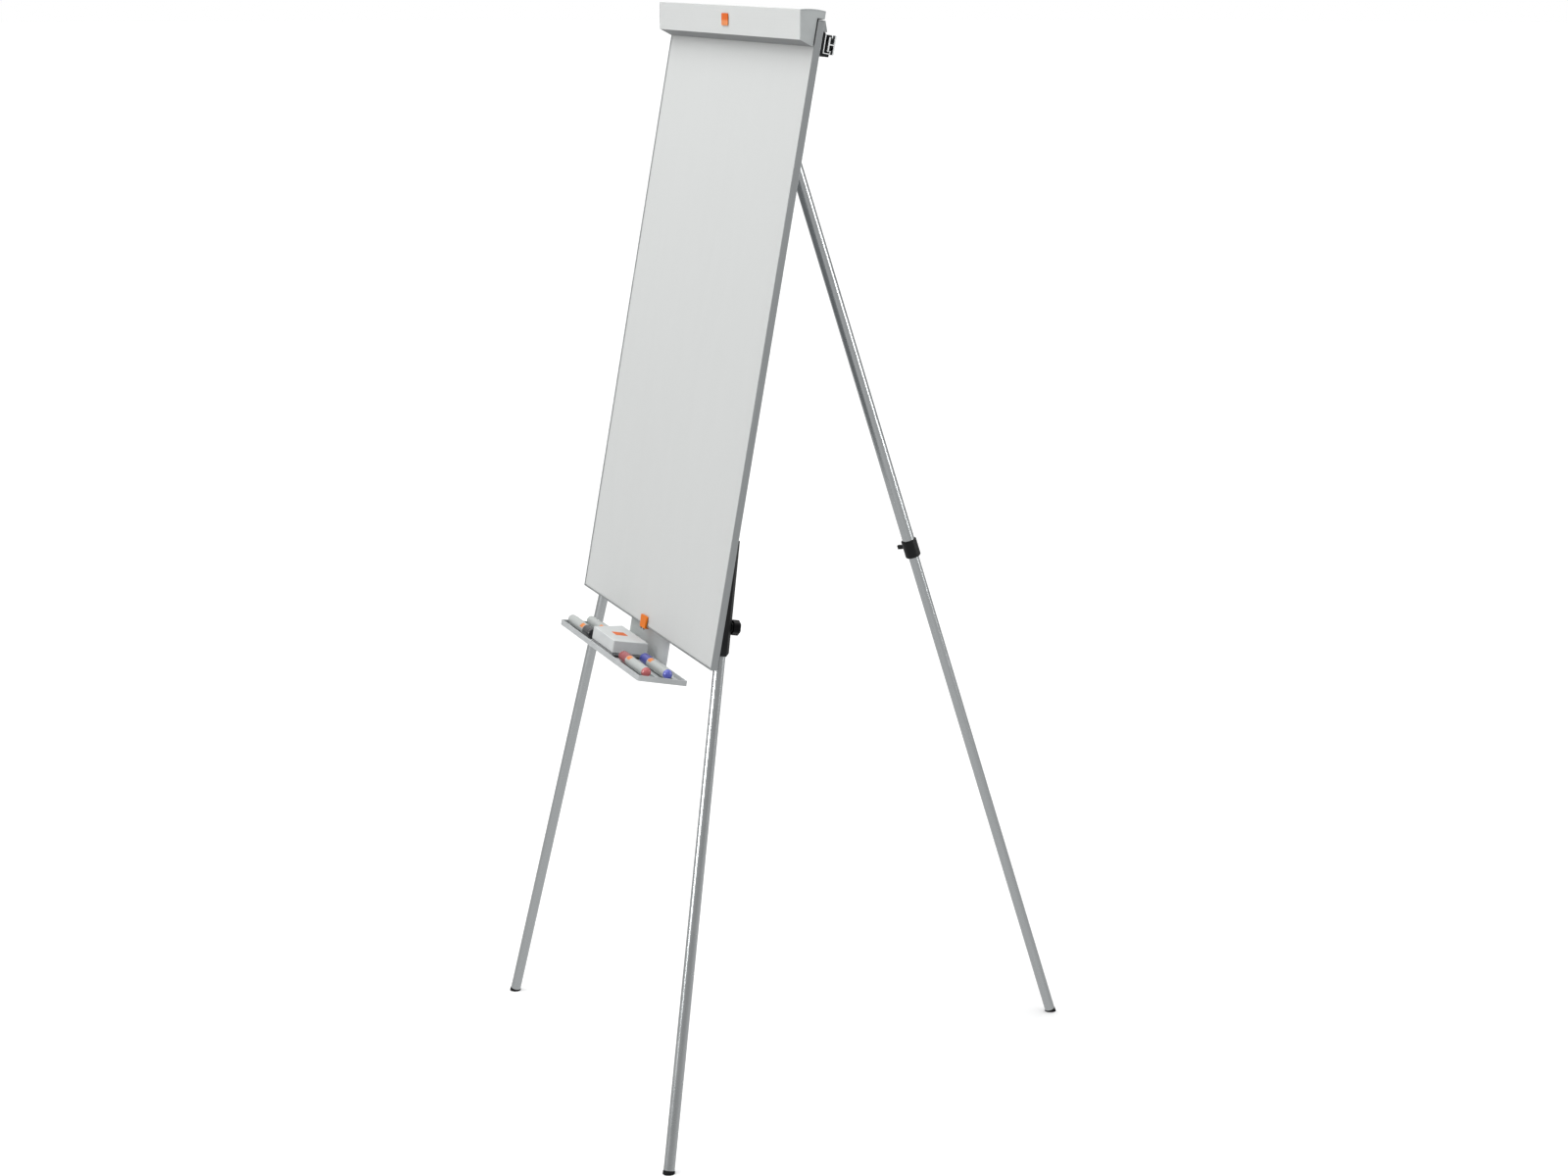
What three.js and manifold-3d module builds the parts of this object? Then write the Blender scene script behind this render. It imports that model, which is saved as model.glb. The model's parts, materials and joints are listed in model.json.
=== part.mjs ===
// Tripod flipchart easel: a leaning writing board with a pad clamp, two telescoping front legs,
// a hinged two-part rear leg, two sliding display arms and a pen tray.
// Millimetres. +Z up, the board faces -Y, the origin is on the floor under the middle of the easel.

import * as THREE from "three";
import { mergeVertices } from "three/addons/utils/BufferGeometryUtils.js";
import Module from "manifold-3d";

const wasm = await Module();
wasm.setup();

// ---------- driving dimensions ----------

const gap = 0.3; // clearance between parts that touch
const pinPlay = 0.1; // radial play of a pin in its bore
const over = 1; // how far a cutting tool runs past a face, or a joined piece into its neighbour

const board = { width: 700, height: 1040, thickness: 11, lean: 10.13, bottom: 800 };
const rail = { wall: 1.5, lip: 3, lipThick: 0.8, backLip: 12 };
const sheet = { front: 1.1, thick: 0.5, backFront: 9.5, backThick: 0.4 };

const frontTube = { radius: 9.25, wall: 1.2, depth: 27.7, topOffset: 311.5, slope: 0.184 };
const frontLeg = { below: 816.5, above: 213 }; // tube ends, along the leg from the board's bottom line
const housing = { low: 17.5, high: 206.5, halfWidth: 14, back: 39.5, bevel: 6, heel: 6 };
const knob = { height: 66, radius: 12.8, length: 15.5, lobes: 6, dip: 0.6, disc: 2.6, root: 0.1, stud: 3 };
const lobeSteps = 8; // outline points on each lobe

const tubePlug = { brim: 1.8, brimHigh: 3, high: 5, insert: 16 };
const foot = { below: 30, insert: 23, proud: 0.7, chamfer: 1 };
const floorTool = { half: 900, deep: 60 }; // block that trims the feet level with the floor

const rearPivot = { height: 967.5, depth: 55, pin: 4, pinHalf: 17.5, head: 6, headThick: 1 };
const rearEar = {
  inner: 13.4, outer: 16, radius: 11.7, low: 30, high: 15,
  root: 4, rise: 0.7, arcStart: -70, arcEnd: 80,
};
const rearPlate = { halfWidth: 32, thick: 2.5, low: 34, high: 17 };
const rearPlug = { halfWidth: 13, insert: 40 };
const rearFoot = 787.4; // floor distance of the rear foot behind the board's bottom line
const rearUpper = { radius: 11, wall: 1.2, start: 17, end: 879 };
const rearLower = { radius: 9.25, wall: 1.2, start: 833, footLength: 5 };
const bush = { below: 18, above: 10, chamfer: 1.5, chamferHigh: 2 };
const collar = {
  radius: 13.75, length: 32, low: 902, bore: 9.55, pocket: 11.3, chamfer: 2.5, topChamfer: 0.6,
};
const thumbScrew = {
  above: 18.5, turn: 60, shank: 2, hole: 5, boss: 4.4, bossEnd: 2.2, neck: 3.4, neckEnd: 5, end: 14.5,
};
const thumbWing = { across: 2.4, along: 3.6, root: 0.5 };

const clamp = { width: 696, wall: 2.4, capThick: 3, pinRadius: 1.4, pinInset: 6, beadRadius: 2.9 };
const hood = {
  lip: [-23.8, 1006], face: [-31.8, 1052], crown: [-10.8, 1058], rear: [10.9, 1056],
  rearLow: 1043.3, inner: -1.5, low: 999,
};
const mouth = { share: 0.1, below: 9, above: 3.7 }; // open back of the hood, past its own outline
const leaf = { thick: 1.2, front: 0.2, reach: 18.2, fold: 1026, low: 1024.5, aboveBoard: 1.5 };
const grip = { inset: 12, front: -1.2, back: 0.8, low: 1000.5, high: 1004.5 };
const badge = { width: 31, height: 20, thick: 0.8, y: -29.3, z: 1029.5 };
const hinge = { v: 1045.3, depth: 8 }; // clamp hinge line: up the board, behind its front face
const knuckle = { length: 30, spacing: 290 };
const spring = { wire: 0.45, radius: 2.35, pitch: 2.2, turns: 7, space: 22 };

const hookRail = { half: 330, front: -5.2, back: -0.2, low: 1012, high: 1034 };
const hookSlot = { middle: 200, half: 90, low: 1020, high: 1026 };
const hook = {
  x: 140, neck: 2.7, root: 0.5, head: 7, headStart: 5.5, headEnd: 8.2, peg: 5, end: 17,
  chamfer: 1.5, chamferLong: 2,
};

const armRail = { low: 991.4, high: 1022.2, front: 15.8, back: 28.2, wall: 1.5, lip: 5.6 };
const armHolder = { reach: 70, inset: 0.5, low: 987, high: 1024 };
const arm = {
  length: 340, flange: 2.5, web: 2, play: 5.4, drop: 0.2, outer: 34.5, innerHalf: 11.5, outerHalf: 15.2,
};

const tray = {
  under: -53, rim: 9, front: -75, back: 8, halfFront: 223, halfBack: 231, wall: 2.5, corner: 5,
};
const trayLane = { floor: 3, rib: 3, ribThick: 3, ribHalf: 217, front: -57, back: -20, halfWidth: 10 };
const bracket = { halfWidth: 104, front: 13.5, thick: 1.5, top: 70, toe: -50 };
const spacer = { middle: 70, half: 12, low: 20, high: 60 };
const eraser = {
  height: 26, felt: 4, front: -68.5, back: -5, left: -58, right: 58, backRight: 55, backLeft: -92,
};
const marker = {
  radius: 8.8, wall: 1.7, neckInset: 2.2, capRadius: 9.2, barrel: 88, cap: 35, plug: 7, neck: 12,
};
const nib = { length: 8, tip: 2.6, base: 4.2, clear: 3 };
// Rounded ends of a marker, as (step in from its radius, step along it).
const capRound = [[3.2, 0], [0.9, 1], [0, 3]];
const plugRound = [[0.4, 0], [0.8, 2.6], [3, 5.2], [5.6, 6.6]];
const clip = {
  x: 3, half: 13, wide: 15.5, front: -3.2, low: -3.3, high: 18, corner: 4, thick: 1.5,
  inset: 0.2, hookHigh: 6,
};
const prong = { x: 7, half: 2, front: -3, back: -1, low: -5.5 };

// ---------- colours ----------

function material(color, roughness, metalness = 0) {
  return new THREE.MeshStandardMaterial({ color, roughness, metalness });
}

const finishes = {
  enamel: material(0xe4e6e6, 0.35),
  board: material(0xb7a88f, 0.9),
  greySheet: material(0x9fa3a6, 0.6, 0.3),
  aluminium: material(0xa6a9ab, 0.4, 0.8),
  steel: material(0x8d9194, 0.35, 0.9),
  greyPlastic: material(0xb4b8b9, 0.55),
  whitePlastic: material(0xd6d8d8, 0.5),
  black: material(0x1b1e20, 0.6),
  rubber: material(0x161718, 0.85),
  orange: material(0xec7416, 0.5),
  felt: material(0x4a4d50, 0.95),
};
const inks = { black: 0x2c2d30, green: 0x3f9b57, red: 0xc22b38, blue: 0x3038a8 };

// ---------- geometry helpers ----------

const xAxis = new THREE.Vector3(1, 0, 0);
const yAxis = new THREE.Vector3(0, 1, 0);
const zAxis = new THREE.Vector3(0, 0, 1);

function outline(points) {
  return new THREE.Shape(points.map(([a, b]) => new THREE.Vector2(a, b)));
}

function prism(shape, depth, curveSegments = 16) {
  return new THREE.ExtrudeGeometry(shape, { depth, bevelEnabled: false, curveSegments });
}

// A (y, z) section drawn out along X from x0 to x1.
function alongX(shape, x0, x1, curveSegments = 16) {
  const solid = prism(shape, x1 - x0, curveSegments);
  solid.applyMatrix4(new THREE.Matrix4().makeBasis(yAxis, zAxis, xAxis));
  return solid.translate(x0, 0, 0);
}

// An (x, z) outline drawn out along Y from y0 to y1.
function alongY(shape, y0, y1) {
  const solid = prism(shape, y1 - y0);
  solid.applyMatrix4(new THREE.Matrix4().makeBasis(xAxis, zAxis, yAxis.clone().negate()));
  return solid.translate(0, y1, 0);
}

// An (x, y) plan drawn up from z0 to z1.
function alongZ(shape, z0, z1) {
  return prism(shape, z1 - z0).translate(0, 0, z0);
}

function block([x0, x1], [y0, y1], [z0, z1]) {
  const solid = new THREE.BoxGeometry(x1 - x0, y1 - y0, z1 - z0);
  return solid.translate((x0 + x1) / 2, (y0 + y1) / 2, (z0 + z1) / 2);
}

// A round bar along Z between two heights.
function rod(radius, z0, z1, sides = 32) {
  const solid = new THREE.CylinderGeometry(radius, radius, z1 - z0, sides).rotateX(Math.PI / 2);
  return solid.translate(0, 0, (z0 + z1) / 2);
}

// A turned piece along Z: the profile runs upwards as (radius, height), from axis to axis.
function turned(profile, sides = 32) {
  const points = profile.map(([radius, height]) => new THREE.Vector2(radius, height));
  return new THREE.LatheGeometry(points, sides).rotateX(Math.PI / 2);
}

function solidOf(geometry) {
  const bare = geometry.index ? geometry.toNonIndexed() : geometry.clone();
  bare.deleteAttribute("normal");
  bare.deleteAttribute("uv");
  const merged = mergeVertices(bare, 1e-4);
  const corners = [];
  for (let i = 0; i < merged.index.count; i += 3) {
    const [a, b, c] = merged.index.array.subarray(i, i + 3);
    if (a !== b && b !== c && c !== a) corners.push(a, b, c);
  }
  return new wasm.Manifold(new wasm.Mesh({
    numProp: 3,
    vertProperties: merged.attributes.position.array,
    triVerts: new Uint32Array(corners),
  }));
}

function geometryOf(solid) {
  const mesh = solid.getMesh();
  const geometry = new THREE.BufferGeometry();
  geometry.setAttribute("position", new THREE.BufferAttribute(mesh.vertProperties, 3));
  geometry.setIndex(new THREE.BufferAttribute(mesh.triVerts, 1));
  return geometry;
}

function joined(first, ...others) {
  return geometryOf(others.reduce((whole, piece) => whole.add(solidOf(piece)), solidOf(first)));
}

function cut(first, ...tools) {
  return geometryOf(tools.reduce((whole, tool) => whole.subtract(solidOf(tool)), solidOf(first)));
}

function hollowRod(radius, wall, z0, z1) {
  const ring = new THREE.Shape().absarc(0, 0, radius, 0, 2 * Math.PI);
  ring.holes.push(new THREE.Path().absarc(0, 0, radius - wall, 0, 2 * Math.PI));
  return alongZ(ring, z0, z1);
}

function part(name, geometry, finish) {
  const plain = geometryOf(solidOf(geometry));
  const mesh = new THREE.Mesh(plain.toNonIndexed(), finish);
  mesh.geometry.computeVertexNormals();
  mesh.name = name;
  return mesh;
}

function side(sign) {
  return sign < 0 ? "left" : "right";
}

// A span of X on the right-hand side, or its mirror image on the left.
function spanX(sign, near, far) {
  return sign < 0 ? [-far, -near] : [near, far];
}

const degrees = THREE.MathUtils.degToRad;

// ---------- frames of reference ----------

const lean = degrees(board.lean);
const splay = Math.atan(frontTube.slope);
const rearTop = {
  y: rearPivot.height * Math.sin(lean) + rearPivot.depth * Math.cos(lean),
  z: board.bottom + rearPivot.height * Math.cos(lean) - rearPivot.depth * Math.sin(lean),
};
const rearLean = Math.atan2(rearFoot - rearTop.y, rearTop.z);
const rearLength = Math.hypot(rearFoot - rearTop.y, rearTop.z);
const frontFootY = frontTube.depth / Math.cos(lean) - board.bottom * Math.tan(lean);
const footprint = {
  front: frontFootY - (frontTube.radius + foot.proud) / Math.cos(lean),
  rear: rearFoot + (rearLower.radius + foot.proud) / Math.cos(rearLean),
};
const originY = (footprint.front + footprint.rear) / 2;

const easel = new THREE.Group();

// Board frame: x across, y back from the front face, z up the board from its bottom edge.
const boardFrame = new THREE.Group();
boardFrame.position.set(0, -originY, board.bottom);
boardFrame.rotation.x = -lean;
easel.add(boardFrame);

// Leg frames: z up the leg's own axis, from the board's bottom line.
function frontLegFrame(sign) {
  const frame = new THREE.Group();
  frame.position.set(sign * frontTube.topOffset, frontTube.depth, 0);
  frame.rotation.y = -sign * splay;
  boardFrame.add(frame);
  return frame;
}

// Rear leg frame: z up the leg, the hinge pin at z = 0, the foot on the floor at z = -rearLength.
const rearFrame = new THREE.Group();
rearFrame.position.set(0, rearTop.y - originY, rearTop.z);
rearFrame.rotation.x = rearLean;
easel.add(rearFrame);

// ---------- board ----------

function boardSheets() {
  const half = board.width / 2 - rail.wall - gap;
  const low = rail.wall + gap;
  const high = board.height - rail.wall - gap;
  const layer = (y0, y1) => block([-half, half], [y0, y1], [low, high]);
  boardFrame.add(
    part("writing_surface", layer(sheet.front, sheet.front + sheet.thick), finishes.enamel),
    part("board_core", layer(sheet.front + sheet.thick + gap, sheet.backFront - gap), finishes.board),
    part("back_sheet", layer(sheet.backFront, sheet.backFront + sheet.backThick), finishes.greySheet),
  );
}

// C section of a frame rail: web at u = 0, lips towards +u, v across the board's thickness.
function railSection() {
  const t = board.thickness;
  return outline([
    [0, 0], [rail.lip, 0], [rail.lip, rail.lipThick], [rail.wall, rail.lipThick],
    [rail.wall, t - rail.lipThick], [rail.backLip, t - rail.lipThick], [rail.backLip, t], [0, t],
  ]);
}

// A rail along X with mitred ends, its web at the bottom edge of a board of this length.
function mitredRail(length) {
  const bar = prism(railSection(), length);
  bar.applyMatrix4(new THREE.Matrix4().makeBasis(zAxis, yAxis, xAxis.clone().negate()));
  bar.translate(length / 2, 0, 0);
  const reach = rail.backLip + 2 * over;
  const corner = outline([[-reach, -reach], [reach * 2, reach * 2], [reach * 2, reach * 3],
    [-reach, reach * 3]]);
  const mitre = (sign) => {
    const tool = alongY(corner, -over, board.thickness + over);
    if (sign > 0) tool.rotateZ(Math.PI).translate(0, board.thickness, 0);
    return tool.translate(sign * (length / 2 - gap / 2), 0, 0);
  };
  return cut(bar, mitre(-1), mitre(1));
}

function frameRails() {
  const half = board.width / 2;
  const middle = board.height / 2;
  const place = (name, length, x, z, turn) => {
    const mesh = part(name, mitredRail(length), finishes.aluminium);
    mesh.position.set(x, 0, z);
    mesh.rotation.y = turn;
    boardFrame.add(mesh);
  };
  place("frame_rail_bottom", board.width, 0, 0, 0);
  place("frame_rail_top", board.width, 0, board.height, Math.PI);
  place("frame_rail_left", board.height, -half, middle, Math.PI / 2);
  place("frame_rail_right", board.height, half, middle, -Math.PI / 2);
}

// ---------- pad clamp ----------

function ring(y, z, radius, bore, x0, x1) {
  const disc = new THREE.Shape().absarc(y, z, radius, 0, 2 * Math.PI);
  disc.holes.push(new THREE.Path().absarc(y, z, bore, 0, 2 * Math.PI));
  return alongX(disc, x0, x1, 10);
}

// Middles of the three knuckles of the hinge leaf.
const knuckles = [-knuckle.spacing, 0, knuckle.spacing];

function clampHinge() {
  const half = clamp.width / 2;
  const leafTop = board.height + leaf.aboveBoard;
  const back = board.thickness + gap;
  const flange = outline([
    [back, leafTop], [back + leaf.thick, leafTop], [leaf.reach, leaf.fold],
    [leaf.reach, leaf.low], [back, leaf.low],
  ]);
  const strip = alongX(flange, -half, half);
  const top = block([-half, half], [leaf.front, back + leaf.thick], [board.height + gap, leafTop]);
  const eyes = knuckles.map((x) => joined(
    ring(hinge.depth, hinge.v, clamp.beadRadius, clamp.pinRadius + pinPlay,
      x - knuckle.length / 2, x + knuckle.length / 2),
    block([x - knuckle.length / 2, x + knuckle.length / 2],
      [hinge.depth - leaf.thick, hinge.depth + leaf.thick],
      [leafTop - leaf.thick / 2, hinge.v - clamp.pinRadius - pinPlay - leaf.thick / 2]),
  ));
  const pin = rod(clamp.pinRadius, clamp.pinInset - half, half - clamp.pinInset, 20)
    .rotateY(Math.PI / 2).translate(0, hinge.depth, hinge.v);
  boardFrame.add(
    part("clamp_hinge_leaf", joined(top, strip, ...eyes), finishes.aluminium),
    part("clamp_hinge_pin", pin, finishes.steel),
  );
}

class Coil extends THREE.Curve {
  constructor(radius, pitch, turns) {
    super();
    Object.assign(this, { radius, pitch, turns });
  }
  getPoint(t, target = new THREE.Vector3()) {
    const angle = 2 * Math.PI * this.turns * t;
    const along = this.pitch * this.turns * (t - 0.5);
    return target.set(along, this.radius * Math.cos(angle), this.radius * Math.sin(angle));
  }
}

function clampSprings() {
  const { turns, pitch, radius } = spring;
  const wire = new THREE.Shape().absarc(0, 0, spring.wire, 0, 2 * Math.PI);
  for (const sign of [-1, 1]) {
    const coil = new THREE.ExtrudeGeometry(wire, {
      steps: turns * 8, curveSegments: 2, extrudePath: new Coil(radius, pitch, turns),
    });
    coil.translate(sign * (knuckle.length + spring.space) / 2, hinge.depth, hinge.v);
    boardFrame.add(part("clamp_spring_" + side(sign), coil, finishes.steel));
  }
}

// Outline of the clamp's hood as (y, z), drawn in by an inset: front face, arched top, rear wall.
function hoodOutline(inset) {
  const { lip, face, crown, rear, rearLow, inner, low } = hood;
  const shape = new THREE.Shape();
  shape.moveTo(lip[0] + inset, lip[1] + inset);
  shape.lineTo(face[0] + inset, face[1] - inset);
  shape.quadraticCurveTo(crown[0], crown[1] - inset, rear[0] - inset, rear[1] - inset);
  shape.lineTo(rear[0] - inset, rearLow);
  shape.lineTo(inner, rearLow);
  shape.lineTo(inner, low + inset);
  return shape;
}

function clampBar() {
  const half = clamp.width / 2 - clamp.capThick - gap;
  const outer = alongX(hoodOutline(0), -half, half);
  const inside = alongX(hoodOutline(clamp.wall), -half - over, half + over);
  const open = block([-half - over, half + over],
    [hood.inner - mouth.share, hood.rear[0] - clamp.wall - mouth.share],
    [hood.low - mouth.below, hood.rearLow + mouth.above]);
  const bead = ring(hinge.depth, hinge.v, clamp.beadRadius, clamp.pinRadius + pinPlay, -half, half);
  const bore = rod(clamp.pinRadius + pinPlay, -half - over, half + over, 20)
    .rotateY(Math.PI / 2).translate(0, hinge.depth, hinge.v);
  const reachAround = clamp.beadRadius + over;
  const notches = knuckles.map((x) => {
    const reach = knuckle.length / 2 + (x === 0 ? spring.space : gap);
    return block([x - reach, x + reach], [hinge.depth - reachAround, hinge.depth + reachAround],
      [hinge.v - reachAround, hinge.v + reachAround]);
  });
  const shell = cut(outer, inside, open);
  boardFrame.add(part("clamp_bar", cut(joined(shell, bead), bore, ...notches), finishes.aluminium));
}

function clampTrim() {
  const half = clamp.width / 2;
  for (const sign of [-1, 1]) {
    const plate = alongX(hoodOutline(0), 0, clamp.capThick);
    const cap = part("clamp_end_cap_" + side(sign), plate, finishes.greyPlastic);
    cap.position.x = sign < 0 ? -half : half - clamp.capThick;
    boardFrame.add(cap);
  }
  const strip = block([grip.inset - half, half - grip.inset], [grip.front, grip.back],
    [grip.low, grip.high]);
  const faceTilt = Math.atan2(hood.lip[0] - hood.face[0], hood.face[1] - hood.lip[1]);
  const label = new THREE.BoxGeometry(badge.width, badge.thick, badge.height).rotateX(faceTilt);
  boardFrame.add(
    part("clamp_grip_strip", strip, finishes.rubber),
    part("clamp_badge", label.translate(0, badge.y, badge.z), finishes.orange),
  );
}

function padHooks() {
  const strip = block([-hookRail.half, hookRail.half], [hookRail.front, hookRail.back],
    [hookRail.low, hookRail.high]);
  const slots = [-hookSlot.middle, hookSlot.middle].map((x) => block(
    [x - hookSlot.half, x + hookSlot.half], [hookRail.front - over, hookRail.back + over],
    [hookSlot.low, hookSlot.high],
  ));
  boardFrame.add(part("pad_hook_rail", cut(strip, ...slots), finishes.greyPlastic));
  const shape = joined(
    rod(hook.neck, -hookRail.back + gap, hook.headStart + hook.root, 20),
    rod(hook.head, hook.headStart, hook.headEnd, 24),
    turned([[0, hook.headStart], [hook.peg, hook.headStart], [hook.peg, hook.end - hook.chamferLong],
      [hook.peg - hook.chamfer, hook.end], [0, hook.end]], 24),
  ).rotateX(Math.PI / 2);
  for (const sign of [-1, 1]) {
    const peg = shape.clone().translate(sign * hook.x, 0, (hookSlot.low + hookSlot.high) / 2);
    boardFrame.add(part("pad_hook_" + side(sign), peg, finishes.black));
  }
}

// ---------- display arms ----------

function armRailAndBrackets() {
  const { low, high, front, back, wall, lip } = armRail;
  const section = outline([
    [front, low], [back, low], [back, low + lip], [back - wall, low + lip], [back - wall, low + wall],
    [front + wall, low + wall], [front + wall, high - wall], [back - wall, high - wall],
    [back - wall, high - lip], [back, high - lip], [back, high], [front, high],
  ]);
  boardFrame.add(part("arm_rail", alongX(section, -board.width / 2, board.width / 2), finishes.aluminium));
  const holder = outline([
    [board.thickness + gap, armHolder.low], [back - wall, armHolder.low], [back - wall, low - gap],
    [front - gap, low - gap], [front - gap, armHolder.high], [board.thickness + gap, armHolder.high],
  ]);
  for (const sign of [-1, 1]) {
    const span = spanX(sign, board.width / 2 - armHolder.reach,
      board.width / 2 - armHolder.inset);
    boardFrame.add(part("arm_rail_bracket_" + side(sign), alongX(holder, ...span), finishes.black));
  }
}

function displayArms() {
  const inner = armRail.front + armRail.wall + arm.play;
  const { flange, outer, innerHalf, outerHalf } = arm;
  const middle = (armRail.low + armRail.high) / 2 - arm.drop;
  const web = arm.web / 2;
  const section = outline([
    [inner, middle - innerHalf], [inner + flange, middle - innerHalf], [inner + flange, middle - web],
    [outer - flange, middle - web], [outer - flange, middle - outerHalf], [outer, middle - outerHalf],
    [outer, middle + outerHalf], [outer - flange, middle + outerHalf], [outer - flange, middle + web],
    [inner + flange, middle + web], [inner + flange, middle + innerHalf], [inner, middle + innerHalf],
  ]);
  for (const sign of [-1, 1]) {
    const span = spanX(sign, board.width / 2 - arm.length, board.width / 2);
    boardFrame.add(part("display_arm_" + side(sign), alongX(section, ...span), finishes.aluminium));
  }
}

// ---------- front legs ----------

function legHousing(sign, frame) {
  const back = housing.back - frontTube.depth;
  const front = board.thickness + gap - frontTube.depth;
  const w = housing.halfWidth;
  const plan = outline([
    [-w, front], [w, front], [w, back - housing.bevel], [w - housing.bevel, back],
    [housing.bevel - w, back], [-w, back - housing.bevel],
  ]);
  const bore = rod(frontTube.radius + gap, housing.low - over, housing.high + over);
  const studHole = rod(knob.stud + gap, 0, back + over, 20)
    .rotateX(-Math.PI / 2).translate(0, 0, knob.height);
  const heel = outline([
    [back - housing.heel, 0], [back + over, -over], [back + over, housing.heel + over],
  ]);
  const heelCut = alongX(heel, -w - over, w + over).translate(0, 0, housing.low);
  const body = cut(alongZ(plan, housing.low, housing.high), bore, studHole, heelCut);
  frame.add(part("leg_housing_" + side(sign), body, finishes.black));
}

function legKnob(sign, frame) {
  const { radius, lobes, dip, length, disc, root } = knob;
  const steps = lobes * lobeSteps;
  const lobed = outline(Array.from({ length: steps }, (_, i) => {
    const angle = (2 * Math.PI * i) / steps;
    const reach = radius - dip - dip * Math.cos(lobes * angle);
    return [reach * Math.cos(angle), reach * Math.sin(angle)];
  }));
  const start = housing.back - frontTube.depth + gap;
  const whole = joined(
    rod(knob.stud, frontTube.radius + gap, start + disc, 20),
    rod(radius - disc, start, start + disc),
    alongZ(lobed, start + disc - root, start + length),
  ).rotateX(-Math.PI / 2).translate(0, 0, knob.height);
  frame.add(part("leg_knob_" + side(sign), whole, finishes.black));
}

// The floor plane as a cutting block, in a leg's frame that leans by the given angles.
function floorBlock(frame) {
  easel.updateMatrixWorld(true);
  const span = [-floorTool.half, floorTool.half];
  const below = block(span, span, [-floorTool.deep, 0]);
  return below.applyMatrix4(frame.matrixWorld.clone().invert());
}

function rubberFoot(name, frame, radius, wall, tubeEnd) {
  const stem = radius - wall - gap;
  const wide = radius + foot.proud;
  const low = tubeEnd - foot.below;
  const high = tubeEnd + foot.insert;
  const shape = turned([
    [0, low], [wide, low], [wide, tubeEnd - gap - foot.chamfer], [wide - foot.chamfer, tubeEnd - gap],
    [stem, tubeEnd - gap], [stem, high - foot.chamfer], [stem - foot.chamfer, high], [0, high],
  ]);
  frame.add(part(name, cut(shape, floorBlock(frame)), finishes.rubber));
}

function frontLegs() {
  for (const sign of [-1, 1]) {
    const frame = frontLegFrame(sign);
    const tubeEnd = -frontLeg.below;
    legHousing(sign, frame);
    legKnob(sign, frame);
    const tube = hollowRod(frontTube.radius, frontTube.wall, tubeEnd, frontLeg.above);
    const inner = frontTube.radius - frontTube.wall - gap;
    const top = frontLeg.above;
    const brim = frontTube.radius + tubePlug.brim;
    const plug = turned([
      [0, top - tubePlug.insert], [inner, top - tubePlug.insert], [inner, top + gap],
      [brim, top + gap], [brim, top + tubePlug.brimHigh],
      [frontTube.radius, top + tubePlug.high], [0, top + tubePlug.high],
    ]);
    frame.add(
      part("front_leg_tube_" + side(sign), tube, finishes.aluminium),
      part("front_leg_plug_" + side(sign), plug, finishes.black),
    );
    rubberFoot("front_foot_" + side(sign), frame, frontTube.radius, frontTube.wall, tubeEnd);
  }
}

// ---------- rear leg ----------

function rearHingeBracket() {
  const front = board.thickness + gap;
  const { height, depth, pin, pinHalf, head, headThick } = rearPivot;
  const plate = block([-rearPlate.halfWidth, rearPlate.halfWidth], [front, front + rearPlate.thick],
    [height - rearPlate.low, height + rearPlate.high]);
  const ear = new THREE.Shape();
  ear.moveTo(front + over, height - rearEar.low);
  ear.lineTo(depth + rearEar.root, height - rearEar.radius + rearEar.rise);
  ear.absarc(depth, height, rearEar.radius, degrees(rearEar.arcStart), degrees(rearEar.arcEnd));
  ear.lineTo(front + over, height + rearEar.high);
  const ears = [-1, 1].map((sign) => alongX(ear, ...spanX(sign, rearEar.inner, rearEar.outer)));
  const atPivot = (geometry) => geometry.rotateY(Math.PI / 2).translate(0, depth, height);
  const bore = atPivot(rod(pin + pinPlay, -rearPlate.halfWidth, rearPlate.halfWidth));
  const headIn = rearEar.outer + gap;
  const headOut = pinHalf + headThick;
  boardFrame.add(
    part("rear_hinge_bracket", cut(joined(plate, ...ears), bore), finishes.black),
    part("rear_hinge_pin", atPivot(joined(
      rod(pin, -pinHalf, pinHalf), rod(head, headIn, headOut), rod(head, -headOut, -headIn),
    )), finishes.steel),
  );
}

function rearUpperLeg() {
  const { radius, wall, start, end } = rearUpper;
  const stem = radius - wall - gap;
  const eye = rod(radius, -rearPlug.halfWidth, rearPlug.halfWidth).rotateY(Math.PI / 2);
  const neck = rod(radius, -start + gap, -rearPivot.pin);
  const insert = rod(stem, -start - rearPlug.insert, -start + over);
  const bore = rod(rearPivot.pin + pinPlay, -rearEar.outer, rearEar.outer).rotateY(Math.PI / 2);
  rearFrame.add(
    part("rear_hinge_plug", cut(joined(eye, neck, insert), bore), finishes.black),
    part("rear_upper_tube", hollowRod(radius, wall, -end, -start), finishes.aluminium),
  );
}

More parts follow.
